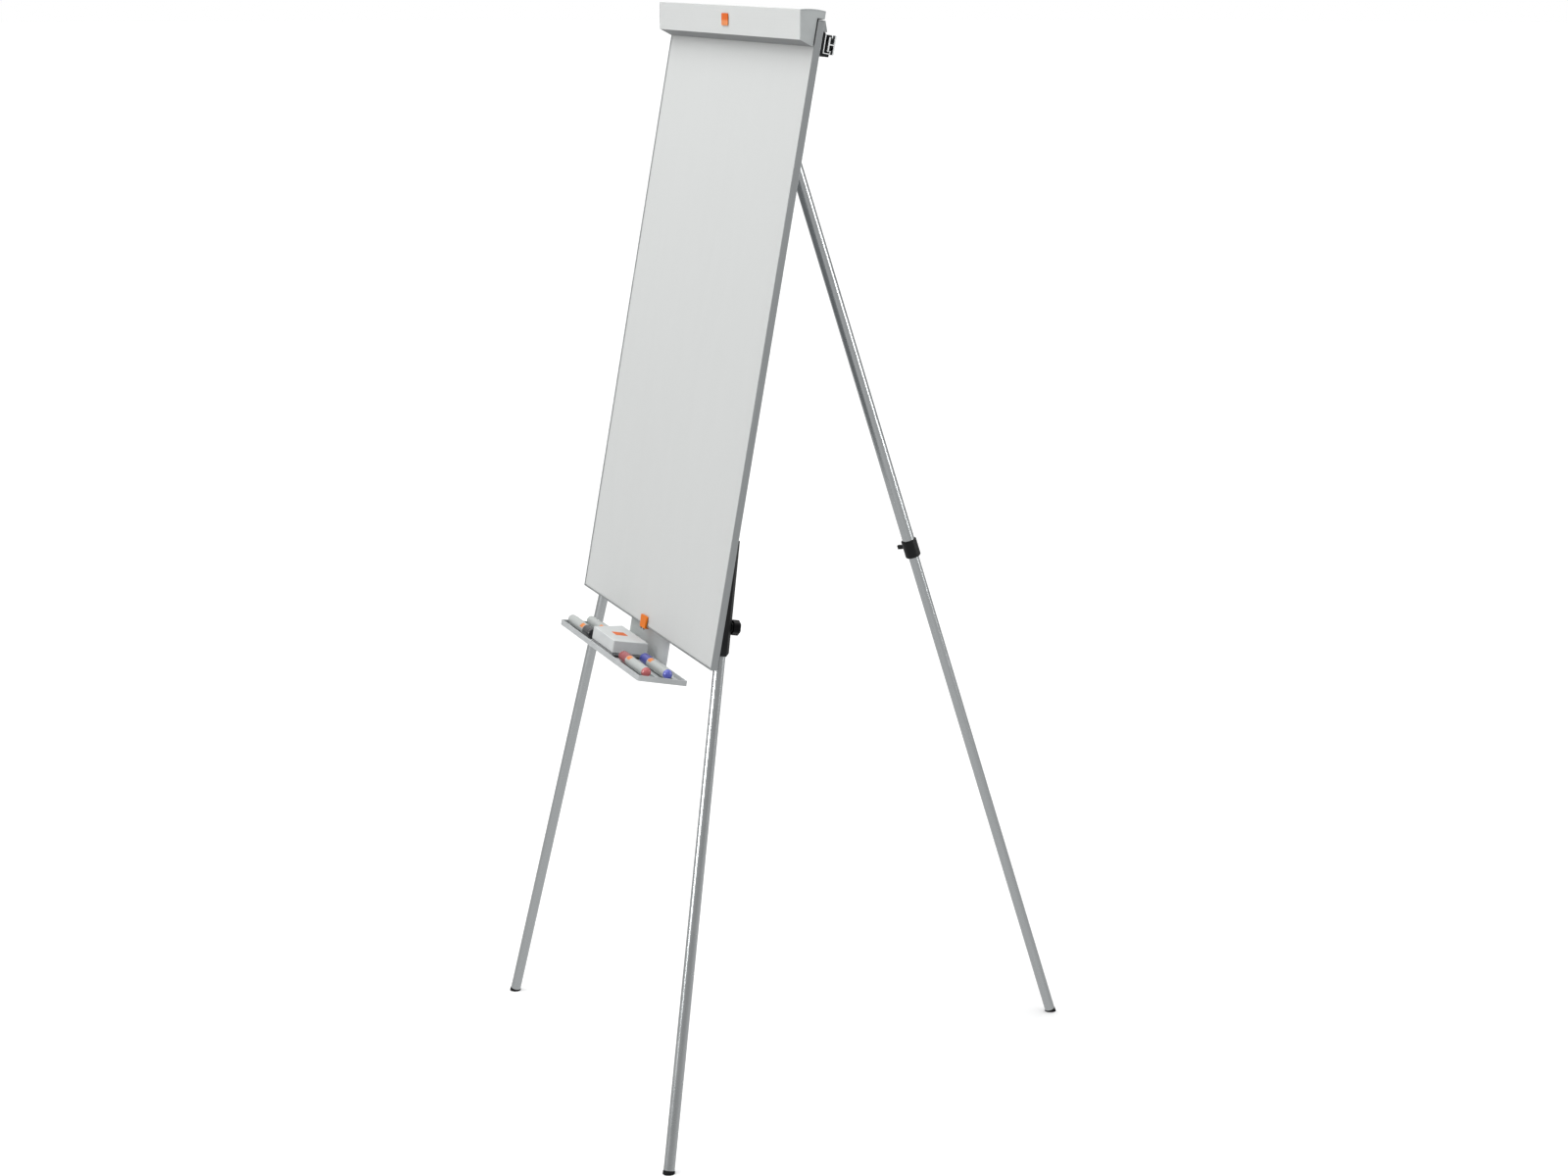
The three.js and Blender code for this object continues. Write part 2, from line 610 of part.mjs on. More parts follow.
function rearCollar() {
  const { radius, bore, pocket, chamfer, topChamfer } = collar;
  const low = -collar.low;
  const high = low + collar.length;
  const step = -rearUpper.end - gap;
  const shell = turned([
    [bore, low], [radius - chamfer, low], [radius, low + chamfer], [radius, high - topChamfer],
    [radius - topChamfer, high], [pocket, high], [pocket, step], [bore, step], [bore, low],
  ]);
  const { shank, boss, bossEnd, neck, neckEnd, end } = thumbScrew;
  const atSide = (geometry) => geometry.rotateX(Math.PI / 2)
    .rotateZ(-degrees(thumbScrew.turn)).translate(0, 0, low + thumbScrew.above);
  const hole = atSide(rod(shank + gap, bore / 2, radius + thumbScrew.hole, 20));
  rearFrame.add(part("rear_collar", cut(shell, hole), finishes.black));
  const { across, along, root } = thumbWing;
  const wing = outline([[-across, -along], [across, -along], [across, along], [-across, along]]);
  const screw = atSide(joined(
    rod(shank, rearLower.radius + gap, radius + over, 20),
    rod(boss, radius + gap, radius + bossEnd, 20),
    rod(neck, radius + gap, radius + neckEnd, 20),
    alongZ(wing, radius + neckEnd - root, radius + end),
  ));
  rearFrame.add(part("collar_thumb_screw", screw, finishes.black));
}

function rearLowerLeg() {
  const { radius, wall, start, footLength } = rearLower;
  const tubeEnd = -(rearLength - footLength);
  const wide = rearUpper.radius - rearUpper.wall - gap;
  const stem = radius - wall - gap;
  const slider = turned([
    [0, -start - bush.below], [stem, -start - bush.below], [stem, -start + gap],
    [wide, -start + gap], [wide, -start + bush.above - bush.chamferHigh],
    [wide - bush.chamfer, -start + bush.above],
    [0, -start + bush.above],
  ]);
  rearFrame.add(
    part("rear_lower_tube", hollowRod(radius, wall, tubeEnd, -start), finishes.aluminium),
    part("rear_tube_bush", slider, finishes.black),
  );
  rubberFoot("rear_foot", rearFrame, radius, wall, tubeEnd);
}

// ---------- tray ----------

function trayPlan(inset) {
  const halfFront = tray.halfFront - inset;
  const halfBack = tray.halfBack - inset;
  const front = tray.front + inset;
  const back = tray.back - inset;
  const round = tray.corner - inset;
  const shape = new THREE.Shape();
  shape.moveTo(-halfBack, back);
  shape.lineTo(-halfFront, front + round);
  shape.quadraticCurveTo(-halfFront, front, round - halfFront, front);
  shape.lineTo(halfFront - round, front);
  shape.quadraticCurveTo(halfFront, front, halfFront, front + round);
  shape.lineTo(halfBack, back);
  return shape;
}

function penTray() {
  const top = tray.under + tray.rim;
  const floor = tray.under + trayLane.floor;
  const half = trayLane.ribThick / 2;
  const rib = (y) => block([-trayLane.ribHalf, trayLane.ribHalf], [y - half, y + half],
    [floor - over, floor + trayLane.rib]);
  const tub = cut(alongZ(trayPlan(0), tray.under, top), alongZ(trayPlan(tray.wall), floor, top + over));
  const divider = (trayLane.front + trayLane.back) / 2;
  const behind = trayLane.back + trayLane.halfWidth + half;
  boardFrame.add(part("pen_tray", joined(tub, rib(divider), rib(behind)), finishes.greyPlastic));
  const { halfWidth, front, thick, toe } = bracket;
  const under = tray.under - gap;
  const fold = outline([
    [front, bracket.top], [front, under], [toe, under],
    [toe, under - thick], [front + thick, under - thick], [front + thick, bracket.top],
  ]);
  const packing = (sign) => block([sign * spacer.middle - spacer.half, sign * spacer.middle + spacer.half],
    [board.thickness + gap, front + over], [spacer.low, spacer.high]);
  const plate = joined(alongX(fold, -halfWidth, halfWidth), packing(-1), packing(1));
  boardFrame.add(part("tray_bracket", plate, finishes.greySheet));
}

function eraserParts() {
  const floor = tray.under + trayLane.floor + trayLane.rib + gap;
  const { felt, height, front, back, left, right, backRight, backLeft } = eraser;
  const plan = outline([[left, front], [right, front], [backRight, back], [backLeft, back]]);
  boardFrame.add(
    part("eraser_grip", alongZ(plan, floor + felt + gap, floor + height), finishes.whitePlastic),
    part("eraser_felt", alongZ(plan, floor, floor + felt), finishes.felt),
  );
}

function markerParts(color, sign, lane, end) {
  const r = marker.radius;
  const wide = marker.capRadius;
  const barrelEnd = end - marker.plug;
  const capStart = barrelEnd - marker.barrel;
  const capEnd = capStart - marker.cap;
  const neck = capStart - marker.neck;
  const tip = neck - nib.length;
  const neckRadius = r - marker.neckInset;
  const bore = r - marker.wall;
  const barrel = turned([
    [0, tip], [nib.tip, tip], [nib.base, neck], [neckRadius, neck], [neckRadius, capStart],
    [r, capStart + gap], [r, barrelEnd - gap], [0, barrelEnd - gap],
  ], 24);
  const cap = turned([
    [0, capEnd], ...capRound.map(([inset, step]) => [wide - inset, capEnd + step]),
    [wide, capStart], [bore, capStart], [bore, tip - nib.clear], [0, tip - nib.clear],
  ], 24);
  const plug = turned([
    [0, barrelEnd], ...plugRound.map(([inset, step]) => [r - inset, barrelEnd + step]), [0, end],
  ], 24);
  const height = tray.under + trayLane.floor + gap + wide;
  const ink = material(inks[color], 0.4);
  const pieces = [["barrel", barrel, finishes.whitePlastic], ["cap", cap, ink], ["end_plug", plug, ink]];
  for (const [name, geometry, finish] of pieces) {
    const mesh = part("marker_" + color + "_" + name, geometry, finish);
    mesh.rotation.y = (sign * Math.PI) / 2;
    mesh.position.set(0, lane, height);
    boardFrame.add(mesh);
  }
}

function paperClip() {
  const { half, wide, front, low, high, corner, thick, inset, hookHigh } = clip;
  const plate = new THREE.Shape();
  plate.moveTo(-half, low);
  plate.lineTo(half, low);
  plate.lineTo(wide, high - corner);
  plate.quadraticCurveTo(wide, high, wide - corner, high);
  plate.lineTo(corner - wide, high);
  plate.quadraticCurveTo(-wide, high, -wide, high - corner);
  const face = alongY(plate, front, -gap);
  const span = [over - half, half - over];
  const back = board.thickness + gap;
  const under = block(span, [front + inset, back + thick], [-gap - 2 * thick, -gap]);
  const hookPart = block(span, [back, back + thick], [-gap - 2 * thick, hookHigh]);
  const spike = (x) => block([x - prong.half, x + prong.half], [prong.front, prong.back],
    [prong.low, low + over]);
  const whole = joined(face, under, hookPart, spike(-prong.x), spike(prong.x));
  boardFrame.add(part("paper_clip", whole.translate(clip.x, 0, 0), finishes.orange));
}

boardSheets();
frameRails();
clampHinge();
clampSprings();
clampBar();
clampTrim();
padHooks();
armRailAndBrackets();
displayArms();
frontLegs();
rearHingeBracket();
rearUpperLeg();
rearCollar();
rearLowerLeg();
penTray();
eraserParts();
markerParts("black", -1, trayLane.front, 219);
markerParts("green", -1, trayLane.back, 225);
markerParts("red", 1, trayLane.front, 214);
markerParts("blue", 1, trayLane.back, 216);
paperClip();

export default easel;
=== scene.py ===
# Flipchart easel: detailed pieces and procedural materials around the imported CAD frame.
# Lengths are metres in the row frame; mm turns a length in millimetres into metres.

import json
import math
from functools import reduce

import bmesh
import bpy
from mathutils import Matrix, Vector


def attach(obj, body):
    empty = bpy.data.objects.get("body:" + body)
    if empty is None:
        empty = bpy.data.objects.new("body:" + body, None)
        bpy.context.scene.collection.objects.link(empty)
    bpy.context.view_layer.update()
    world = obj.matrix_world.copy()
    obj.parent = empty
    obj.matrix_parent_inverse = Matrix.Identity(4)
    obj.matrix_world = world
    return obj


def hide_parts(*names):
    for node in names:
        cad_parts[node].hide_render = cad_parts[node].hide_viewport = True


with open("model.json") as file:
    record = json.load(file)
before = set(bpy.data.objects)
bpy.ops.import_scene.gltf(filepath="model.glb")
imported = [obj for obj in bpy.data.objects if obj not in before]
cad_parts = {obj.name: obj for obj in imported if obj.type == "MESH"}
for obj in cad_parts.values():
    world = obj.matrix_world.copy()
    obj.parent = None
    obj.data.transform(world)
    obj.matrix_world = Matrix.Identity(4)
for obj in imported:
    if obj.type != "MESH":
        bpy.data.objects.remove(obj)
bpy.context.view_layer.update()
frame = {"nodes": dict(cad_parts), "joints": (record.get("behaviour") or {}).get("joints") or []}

mm = 0.001
sides = ("left", "right")


# ---------- frames of reference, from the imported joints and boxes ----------

joint_axis = {j["name"]: Vector(j["axis"]).normalized() for j in frame["joints"]}
across = Vector((1, 0, 0))
up = joint_axis["eraser_lift"]  # up the leaning board
back = up.cross(across)
rear_up = joint_axis["rear_leg_slide"]


def axes(x, y, z):
    """The turn from a local frame with these axes to the row frame."""
    return Matrix((x, y, z)).transposed().to_4x4()


def local_box(node, place):
    """Lowest and highest corner of a CAD node in a local frame."""
    inverse = place.inverted()
    points = [inverse @ v.co for v in frame["nodes"][node].data.vertices]
    return Vector(map(min, *points)), Vector(map(max, *points))


def along_axis(node, z, y):
    """A frame along a turned node, its origin in the middle of the lower end, with radius and length."""
    x = y.cross(z).normalized()
    turn = axes(x, z.cross(x), z)
    low, high = local_box(node, turn)
    middle = (low + high) / 2
    place = turn @ Matrix.Translation((middle.x, middle.y, low.z))
    return place, (high.x - low.x) / 2, high.z - low.z


board_turn = axes(across, back, up)
board_edge = local_box("frame_rail_left", board_turn)[0]
# x across, y back from the board's front face, z up the board from its bottom edge
board = board_turn @ Matrix.Translation((0, board_edge.y, board_edge.z))


# ---------- mesh helpers ----------

def copied(node, place):
    """The CAD node's mesh in a local frame, with each flat area as one face."""
    same_point = 0.005 * mm
    same_plane = math.radians(0.8)
    bm = bmesh.new()
    bm.from_mesh(frame["nodes"][node].data)
    bm.transform(place.inverted())
    bmesh.ops.remove_doubles(bm, verts=bm.verts, dist=same_point)
    bmesh.ops.dissolve_limit(
        bm, angle_limit=same_plane, use_dissolve_boundaries=False, verts=bm.verts, edges=bm.edges
    )
    bm.normal_update()
    return bm


def soften(bm, width, segments=2, angle=28, chosen=None):
    """Rounds the edges that turn by more than an angle in degrees, or those of them that a test chooses."""
    edges = [
        e for e in bm.edges
        if e.is_manifold and e.calc_face_angle(0) > math.radians(angle) and (chosen is None or chosen(e))
    ]
    bmesh.ops.bevel(
        bm, geom=edges, offset=width, offset_type="OFFSET", segments=segments, profile=0.5,
        affect="EDGES", clamp_overlap=True,
    )
    bm.normal_update()
    return bm


def arc(centre, radius, start, end, steps=6):
    """Points on an arc in the plane, angles in degrees."""
    angles = [math.radians(start + (end - start) * i / steps) for i in range(steps + 1)]
    return [(centre[0] + radius * math.cos(a), centre[1] + radius * math.sin(a)) for a in angles]


def dome(radius, height, steps, base=0.0):
    """The outline of a flattened dome from its rim up, short of its top."""
    angles = [math.radians(90 * i / steps) for i in range(steps)]
    return [(radius * math.cos(a), base + height * math.sin(a)) for a in angles]


def groove(radius, low, high, depth, slope):
    """The outline of a groove with sloping sides, round a turned part."""
    floor = radius - depth
    return [(radius, low), (floor, low + slope), (floor, high - slope), (radius, high)]


def turned(profile, ring=False, steps=72, lobes=0, dip=0.0, waist=0.0):
    """A turned mesh from (radius, height) points, from axis to axis, or closed on itself as a ring.
    Points beyond the waist radius are scalloped into lobes, with dips that deep between them."""
    bm = bmesh.new()

    def point(radius, height, angle):
        if lobes and radius > waist:
            radius -= dip * (1 - math.cos(lobes * angle)) / 2
        return bm.verts.new((radius * math.cos(angle), radius * math.sin(angle), height))

    rows = []
    for radius, height in profile:
        if radius == 0:
            rows.append([bm.verts.new((0, 0, height))])
        else:
            rows.append([point(radius, height, 2 * math.pi * i / steps) for i in range(steps)])
    pairs = list(zip(rows, rows[1:])) + ([(rows[-1], rows[0])] if ring else [])
    for low, high in pairs:
        for i in range(steps):
            j = (i + 1) % steps
            corners = [low[i % len(low)], low[j % len(low)], high[j % len(high)], high[i % len(high)]]
            bm.faces.new(list(dict.fromkeys(corners)))
    bmesh.ops.recalc_face_normals(bm, faces=bm.faces)
    return bm


def slab(low, high, width):
    """A block between two corners with rounded edges."""
    bm = bmesh.new()
    bmesh.ops.create_cube(bm, size=1)
    size = Vector(high) - Vector(low)
    middle = (Vector(high) + Vector(low)) / 2
    bm.transform(Matrix.Translation(middle) @ Matrix.Diagonal((*size, 1)))
    return soften(bm, width)


def join(bm, other):
    """Moves another mesh's faces into this one."""
    spare = bpy.data.meshes.new("spare")
    other.to_mesh(spare)
    other.free()
    bm.from_mesh(spare)
    bpy.data.meshes.remove(spare)


def coil(radius, wire, pitch, turns, steps=28, around=10):
    """A wire wound round the X axis."""
    bm = bmesh.new()
    rows = []
    for i in range(int(steps * turns) + 1):
        angle = 2 * math.pi * i / steps
        outward = Vector((0, math.cos(angle), math.sin(angle)))
        centre = pitch * (i / steps - turns / 2) * across + radius * outward
        rows.append([
            bm.verts.new(centre + wire * (outward * math.cos(t) + across * math.sin(t)))
            for t in (2 * math.pi * k / around for k in range(around))
        ])
    for low, high in zip(rows, rows[1:]):
        for i in range(around):
            j = (i + 1) % around
            bm.faces.new((low[i], low[j], high[j], high[i]))
    bm.faces.new(rows[0])
    bm.faces.new(rows[-1])
    bmesh.ops.recalc_face_normals(bm, faces=bm.faces)
    return bm


def piece(name, bm, place, body, material, stands_for=(), second=None):
    """Shows a mesh made in a local frame, with its own coordinates as an attribute for the materials.
    second is (another material, a test of a face) for faces that have another finish."""
    sharp = math.radians(32)
    mesh = bpy.data.meshes.new(name)
    if second:
        for face in bm.faces:
            face.material_index = int(second[1](face))
    bm.to_mesh(mesh)
    bm.free()
    local = mesh.attributes.new("local", "FLOAT_VECTOR", "POINT")
    local.data.foreach_set("vector", [c for v in mesh.vertices for c in v.co])
    mesh.transform(place)
    mesh.materials.append(material)
    if second:
        mesh.materials.append(second[0])
    mesh.shade_smooth()
    mesh.set_sharp_from_angle(angle=sharp)
    obj = bpy.data.objects.new(name, mesh)
    bpy.context.scene.collection.objects.link(obj)
    normals = obj.modifiers.new("normals", "WEIGHTED_NORMAL")
    normals.keep_sharp = True
    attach(obj, body)
    if stands_for:
        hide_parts(*stands_for)


def stand_in(node, bm, place, body, slot, material=None, second=None):
    """A piece that stands for one CAD node, in its slot's material unless another is given."""
    piece(node + "_shape", bm, place, body, material or materials[slot], [node], second)


def refined(node, place, body, slot, width, segments=2, material=None, second=None):
    """A copy of a CAD node with rounded edges, which stands for it."""
    bm = soften(copied(node, place), width, segments)
    stand_in(node, bm, place, body, slot, material, second)


# ---------- materials ----------

def srgb(red, green, blue):
    """A colour from its 0 to 255 display values."""
    def linear(value):
        value /= 255
        return value / 12.92 if value <= 0.04045 else ((value + 0.055) / 1.055) ** 2.4
    return (linear(red), linear(green), linear(blue), 1)


def surface(name, color, roughness, metallic=0.0, specular=0.5, coat=0.0):
    """A new material with its Principled shader's plain values set."""
    material = bpy.data.materials.new(name)
    material.use_nodes = True
    shader = material.node_tree.nodes["Principled BSDF"]
    shader.inputs["Base Color"].default_value = color
    shader.inputs["Roughness"].default_value = roughness
    shader.inputs["Metallic"].default_value = metallic
    shader.inputs["Specular IOR Level"].default_value = specular
    shader.inputs["Coat Weight"].default_value = coat
    return material


def add(material, kind, **values):
    """A new shader node whose inputs are set to plain values or linked to other nodes' outputs."""
    node = material.node_tree.nodes.new("ShaderNode" + kind)
    for name, value in values.items():
        if isinstance(value, bpy.types.NodeSocket):
            material.node_tree.links.new(value, node.inputs[name])
        else:
            node.inputs[name].default_value = value
    return node


def even(scale):
    """The same scale along each axis."""
    return (scale, scale, scale)


def coordinates(material, stretch, own=True):
    """The piece's own coordinates in metres, or a CAD node's, scaled along each axis."""
    if own:
        source = material.node_tree.nodes.new("ShaderNodeAttribute")
        source.attribute_name = "local"
        vector = source.outputs["Vector"]
    else:
        vector = material.node_tree.nodes.new("ShaderNodeTexCoord").outputs["Object"]
    return add(material, "Mapping", Vector=vector, Scale=stretch).outputs["Vector"]


def noise(material, stretch, detail, own=True, distortion=0.0):
    """Noise whose cells are 1 / stretch metres along each axis."""
    vector = coordinates(material, stretch, own)
    made = add(material, "TexNoise", Vector=vector, Scale=1.0, Detail=detail, Distortion=distortion)
    return made.outputs["Fac"]


def link(material, output, socket):
    """Links an output to one of the Principled shader's inputs."""
    shader = material.node_tree.nodes["Principled BSDF"]
    material.node_tree.links.new(output, shader.inputs[socket])


def mixed(material, factor, first, second):
    """A colour between two, each a plain colour or another node's output."""
    node = material.node_tree.nodes.new("ShaderNodeMix")
    node.data_type = "RGBA"
    # a Mix node keeps inputs for every data type, and these are the ones for colours
    share, first_color, second_color = (node.inputs[i] for i in (0, 6, 7))
    for socket, value in ((first_color, first), (second_color, second)):
        if isinstance(value, bpy.types.NodeSocket):
            material.node_tree.links.new(value, socket)
        else:
            socket.default_value = value
    material.node_tree.links.new(factor, share)
    return node.outputs[2]


def between(material, factor, low, high, start=0.35, end=0.65):
    """The factor's span from start to end stretched to low..high, and clamped."""
    made = add(material, "MapRange", Value=factor)
    made.inputs["From Min"].default_value = start
    made.inputs["From Max"].default_value = end
    made.inputs["To Min"].default_value = low
    made.inputs["To Max"].default_value = high
    return made.outputs["Result"]


def shades(color, spread):
    """A darker and a lighter colour round a colour."""
    return (
        (*(c * (1 - spread) for c in color[:3]), 1),
        (*(min(1, c * (1 + spread)) for c in color[:3]), 1),
    )


def relief(material, height, depth):
    """A bump that follows a height between 0 and 1, that deep."""
    return add(material, "Bump", Height=height, Distance=depth, Strength=1.0).outputs["Normal"]


def coloured(material, factor, color, spread):
    """Lets the colour drift between a darker and a lighter one."""
    darker, lighter = shades(color, spread)
    link(material, mixed(material, between(material, factor, 0, 1), darker, lighter), "Base Color")


def drawn_metal(name, color, roughness, grain_axis, metallic=0.9, spread=0.10, depth=0.0035):
    """Satin anodised aluminium with fine streaks along one of its own axes and faint handling marks.
    The streaks are depth millimetres deep."""
    material = surface(name, color, roughness, metallic)
    fine, broad = list(even(2600.0)), list(even(260.0))
    fine[grain_axis], broad[grain_axis] = 6.0, 1.5
    streaks = noise(material, fine, 4.0)
    bands = noise(material, broad, 2.0)
    marks = noise(material, even(22.0), 5.0, distortion=0.6)
    darker, lighter = shades(color, spread)
    streaked = mixed(material, between(material, streaks, 0, 1), darker, lighter)
    banded = mixed(material, between(material, bands, 0, 0.5), streaked, color)
    worn = between(material, marks, 0, 0.25, 0.55, 0.8)
    link(material, mixed(material, worn, banded, lighter), "Base Color")
    link(material, between(material, marks, roughness - 0.01, roughness + 0.03), "Roughness")
    link(material, relief(material, streaks, depth * mm), "Normal")
    return material


def moulded(name, color, roughness, grain=1800.0, depth=0.02, spread=0.05, specular=0.4, coat=0.0):
    """Moulded plastic with a fine eroded grain, depth millimetres deep, uneven gloss and colour drift."""
    material = surface(name, color, roughness, 0.0, specular, coat)
    drift = noise(material, even(30.0), 4.0)
    eroded = noise(material, even(grain), 2.0)
    coloured(material, drift, color, spread)
    link(material, between(material, drift, roughness - 0.06, roughness + 0.06), "Roughness")
    link(material, relief(material, eroded, depth * mm), "Normal")
    return material


def enamel():
    """Glossy writing enamel: soft orange peel, faint wiped marks."""
    color = srgb(202, 204, 203)
    material = surface("enamel", color, 0.36, 0.0, 0.3)
    drift = noise(material, (2.2, 2.2, 1.4), 3.0, own=False)
    wiped = noise(material, (14.0, 14.0, 3.0), 5.0, own=False, distortion=1.2)
    peel = noise(material, even(420.0), 2.0, own=False)
    coloured(material, drift, color, 0.008)
    link(material, between(material, wiped, 0.34, 0.40), "Roughness")
    link(material, relief(material, peel, 0.006 * mm), "Normal")
    return material


def fibreboard():
    """The board's core: pressed brown fibres."""
    color = srgb(186, 168, 138)
    material = surface("fibreboard", color, 0.85, 0.0, 0.2)
    fibres = noise(material, (900.0, 900.0, 300.0), 6.0, own=False, distortion=0.8)
    coloured(material, fibres, color, 0.22)
    link(material, between(material, fibres, 0.78, 0.92), "Roughness")
    link(material, relief(material, fibres, 0.08 * mm), "Normal")
    return material


def zinc_sheet():
    """The back sheet: grey metal foil with a faint spangle and rolling streaks."""
    color = srgb(158, 161, 163)
    material = surface("zinc_sheet", color, 0.48, 0.55, 0.4)
    vector = coordinates(material, even(55.0), own=False)
    spangle = add(material, "TexVoronoi", Vector=vector, Scale=1.0).outputs["Distance"]
    rolled = noise(material, (1.5, 90.0, 90.0), 4.0, own=False)
    darker, lighter = shades(color, 0.07)
    flecked = mixed(material, between(material, spangle, 0, 1, 0.1, 0.7), darker, lighter)
    link(material, mixed(material, between(material, rolled, 0, 0.6), flecked, color), "Base Color")
    link(material, between(material, spangle, 0.42, 0.56, 0.1, 0.7), "Roughness")
    link(material, relief(material, rolled, 0.01 * mm), "Normal")
    return material


def rubber():
    """Black rubber, dustier where it is worn."""
    color = srgb(20, 21, 22)
    material = surface("rubber", color, 0.8, 0.0, 0.12)
    dust = noise(material, even(160.0), 5.0)
    grain = noise(material, even(2200.0), 2.0)
    dusty = between(material, dust, 0, 0.3, 0.55, 0.85)
    link(material, mixed(material, dusty, color, srgb(84, 83, 80)), "Base Color")
    link(material, between(material, dust, 0.72, 0.9), "Roughness")
    link(material, relief(material, grain, 0.03 * mm), "Normal")
    return material


def steel():
    """Bright plated steel with turning marks."""
    color = srgb(176, 178, 181)
    material = surface("steel", color, 0.28, 1.0)
    rings = noise(material, (1500.0, 1500.0, 4000.0), 3.0)
    coloured(material, rings, color, 0.12)
    link(material, between(material, rings, 0.22, 0.36), "Roughness")
    link(material, relief(material, rings, 0.004 * mm), "Normal")
    return material


def felt():
    """Dense grey felt."""
    color = srgb(118, 120, 122)
    material = surface("felt", color, 0.95, 0.0, 0.1)
    material.node_tree.nodes["Principled BSDF"].inputs["Sheen Weight"].default_value = 0.4
    fibres = noise(material, (1400.0, 1400.0, 500.0), 6.0, distortion=1.5)
    coloured(material, fibres, color, 0.35)
    link(material, between(material, fibres, 0.88, 1.0), "Roughness")
    link(material, relief(material, fibres, 0.25 * mm), "Normal")
    return material


def badge_orange(low, high):
    """The badge: plain orange that pales from one height down to another."""
    deep = srgb(210, 92, 10)
    material = moulded("badge_orange", deep, 0.45, depth=0.006, spread=0.03, specular=0.12)
    height = add(material, "SeparateXYZ", Vector=coordinates(material, even(1.0))).outputs["Z"]
    paleness = between(material, height, 1, 0, low, high)
    drift = noise(material, even(60.0), 3.0)
    upper = mixed(material, drift, deep, srgb(216, 100, 18))
    link(material, mixed(material, paleness, upper, srgb(220, 136, 84)), "Base Color")
    return material


def arithmetic(material, operation, *values):
    """The result of a Math node that works on other nodes' outputs."""
    node = material.node_tree.nodes.new("ShaderNodeMath")
    node.operation = operation
    for socket, value in zip(node.inputs, values):
        material.node_tree.links.new(value, socket)
    return node.outputs[0]


def marker_body(cap_end, roll):
    """Off-white barrel with a small plain orange label next to the cap, rolled round the barrel."""
    color = srgb(172, 176, 174)
    material = moulded("marker_body", color, 0.42, depth=0.006, spread=0.03, specular=0.4)
    turned_round = coordinates(material, even(1.0))
    turned_round.node.inputs["Rotation"].default_value = (0, 0, -math.radians(roll))
    outward, sideways, along = add(material, "SeparateXYZ", Vector=turned_round).outputs
    half_width = 4 * mm
    start, end = cap_end + 2.5 * mm, cap_end + 18 * mm
    edge = 0.7 * mm
    inside = [
        between(material, outward, 0, 1, 0, 1 * mm),
        between(material, arithmetic(material, "ABSOLUTE", sideways), 1, 0, half_width, half_width + edge),
        between(material, along, 0, 1, start, start + edge),
        between(material, along, 1, 0, end, end + edge),
    ]
    label = reduce(lambda first, second: arithmetic(material, "MULTIPLY", first, second), inside)
    drift = noise(material, (80.0, 80.0, 30.0), 3.0)
    ground = mixed(material, drift, *shades(color, 0.05))
    ink = mixed(material, drift, srgb(214, 104, 22), srgb(220, 140, 60))
    link(material, mixed(material, label, ground, ink), "Base Color")
    return material


materials = {
    # board
    "enamel": enamel(),
    "core": fibreboard(),
    "back_sheet": zinc_sheet(),
    "frame": drawn_metal("frame_metal", srgb(150, 153, 154), 0.42, 0),
    "frame_upright": drawn_metal("frame_upright_metal", srgb(150, 153, 154), 0.42, 2),
    # pad clamp
    "clamp_shell": drawn_metal("clamp_metal", srgb(204, 206, 205), 0.5, 0, metallic=0.2, spread=0.02),
    # a darker grey for the clamp's down-facing faces: partly the underside's own grey, partly painted shade
    # under the clamp
    "clamp_inside_painted_shade": moulded("clamp_lower_face_grey_and_painted_shade", srgb(120, 122, 123), 0.6),
    "clamp_cap": moulded("clamp_cap_plastic", srgb(172, 176, 176), 0.6),
    # rail and display arms
    "rail": drawn_metal("rail_metal", srgb(186, 188, 189), 0.36, 0, metallic=0.95),
    "rail_cut": drawn_metal("rail_cut_metal", srgb(226, 228, 228), 0.55, 1, metallic=0.2, spread=0.04),
    # legs
    "leg_tube": drawn_metal(
        "tube_metal", srgb(164, 167, 168), 0.26, 2, metallic=0.95, spread=0.05, depth=0.0003
    ),
    "knob_plastic": moulded("knob_plastic", srgb(4, 5, 7), 0.3, depth=0.006, spread=0.15, specular=0.12),
    # tray and what lies in it
    "tray_plastic": moulded("tray_plastic", srgb(180, 183, 184), 0.6, specular=0.25),
    "bracket_plate": drawn_metal("plate_paint", srgb(200, 203, 203), 0.5, 0, metallic=0.15, spread=0.04),
    "eraser_plastic": moulded("eraser_plastic", srgb(197, 200, 200), 0.5),
    "felt": felt(),
    "label": moulded("label_orange", srgb(204, 98, 34), 0.6, grain=900.0, depth=0.004, spread=0.10),
    "ink_black": moulded("ink_black", srgb(40, 41, 44), 0.34, depth=0.004, specular=0.45, coat=0.2),
    "ink_green": moulded("ink_green", srgb(62, 150, 84), 0.34, depth=0.004, specular=0.45, coat=0.2),
    "ink_red": moulded("ink_red", srgb(150, 62, 66), 0.3, depth=0.004, specular=0.4, coat=0.15),
    "ink_blue": moulded("ink_blue", srgb(60, 66, 150), 0.3, depth=0.004, specular=0.4, coat=0.15),
    # the red and blue plugs are a lighter copy of their ink: painted light on plugs that lie in the tray's
    # shade
    "plug_red": moulded("plug_red", srgb(190, 96, 98), 0.3, depth=0.004, specular=0.5, coat=0.3),
    "plug_blue": moulded("plug_blue", srgb(92, 100, 196), 0.3, depth=0.004, specular=0.5, coat=0.3),
    # throughout
    "steel": steel(),
    "rubber": rubber(),
    "orange": moulded("orange_plastic", srgb(224, 116, 12), 0.45, depth=0.008, specular=0.15),
    "grey_plastic": moulded("grey_plastic", srgb(150, 153, 154), 0.6),
    "black_plastic": moulded("black_plastic", srgb(17, 19, 20), 0.45, spread=0.15, specular=0.2),
}


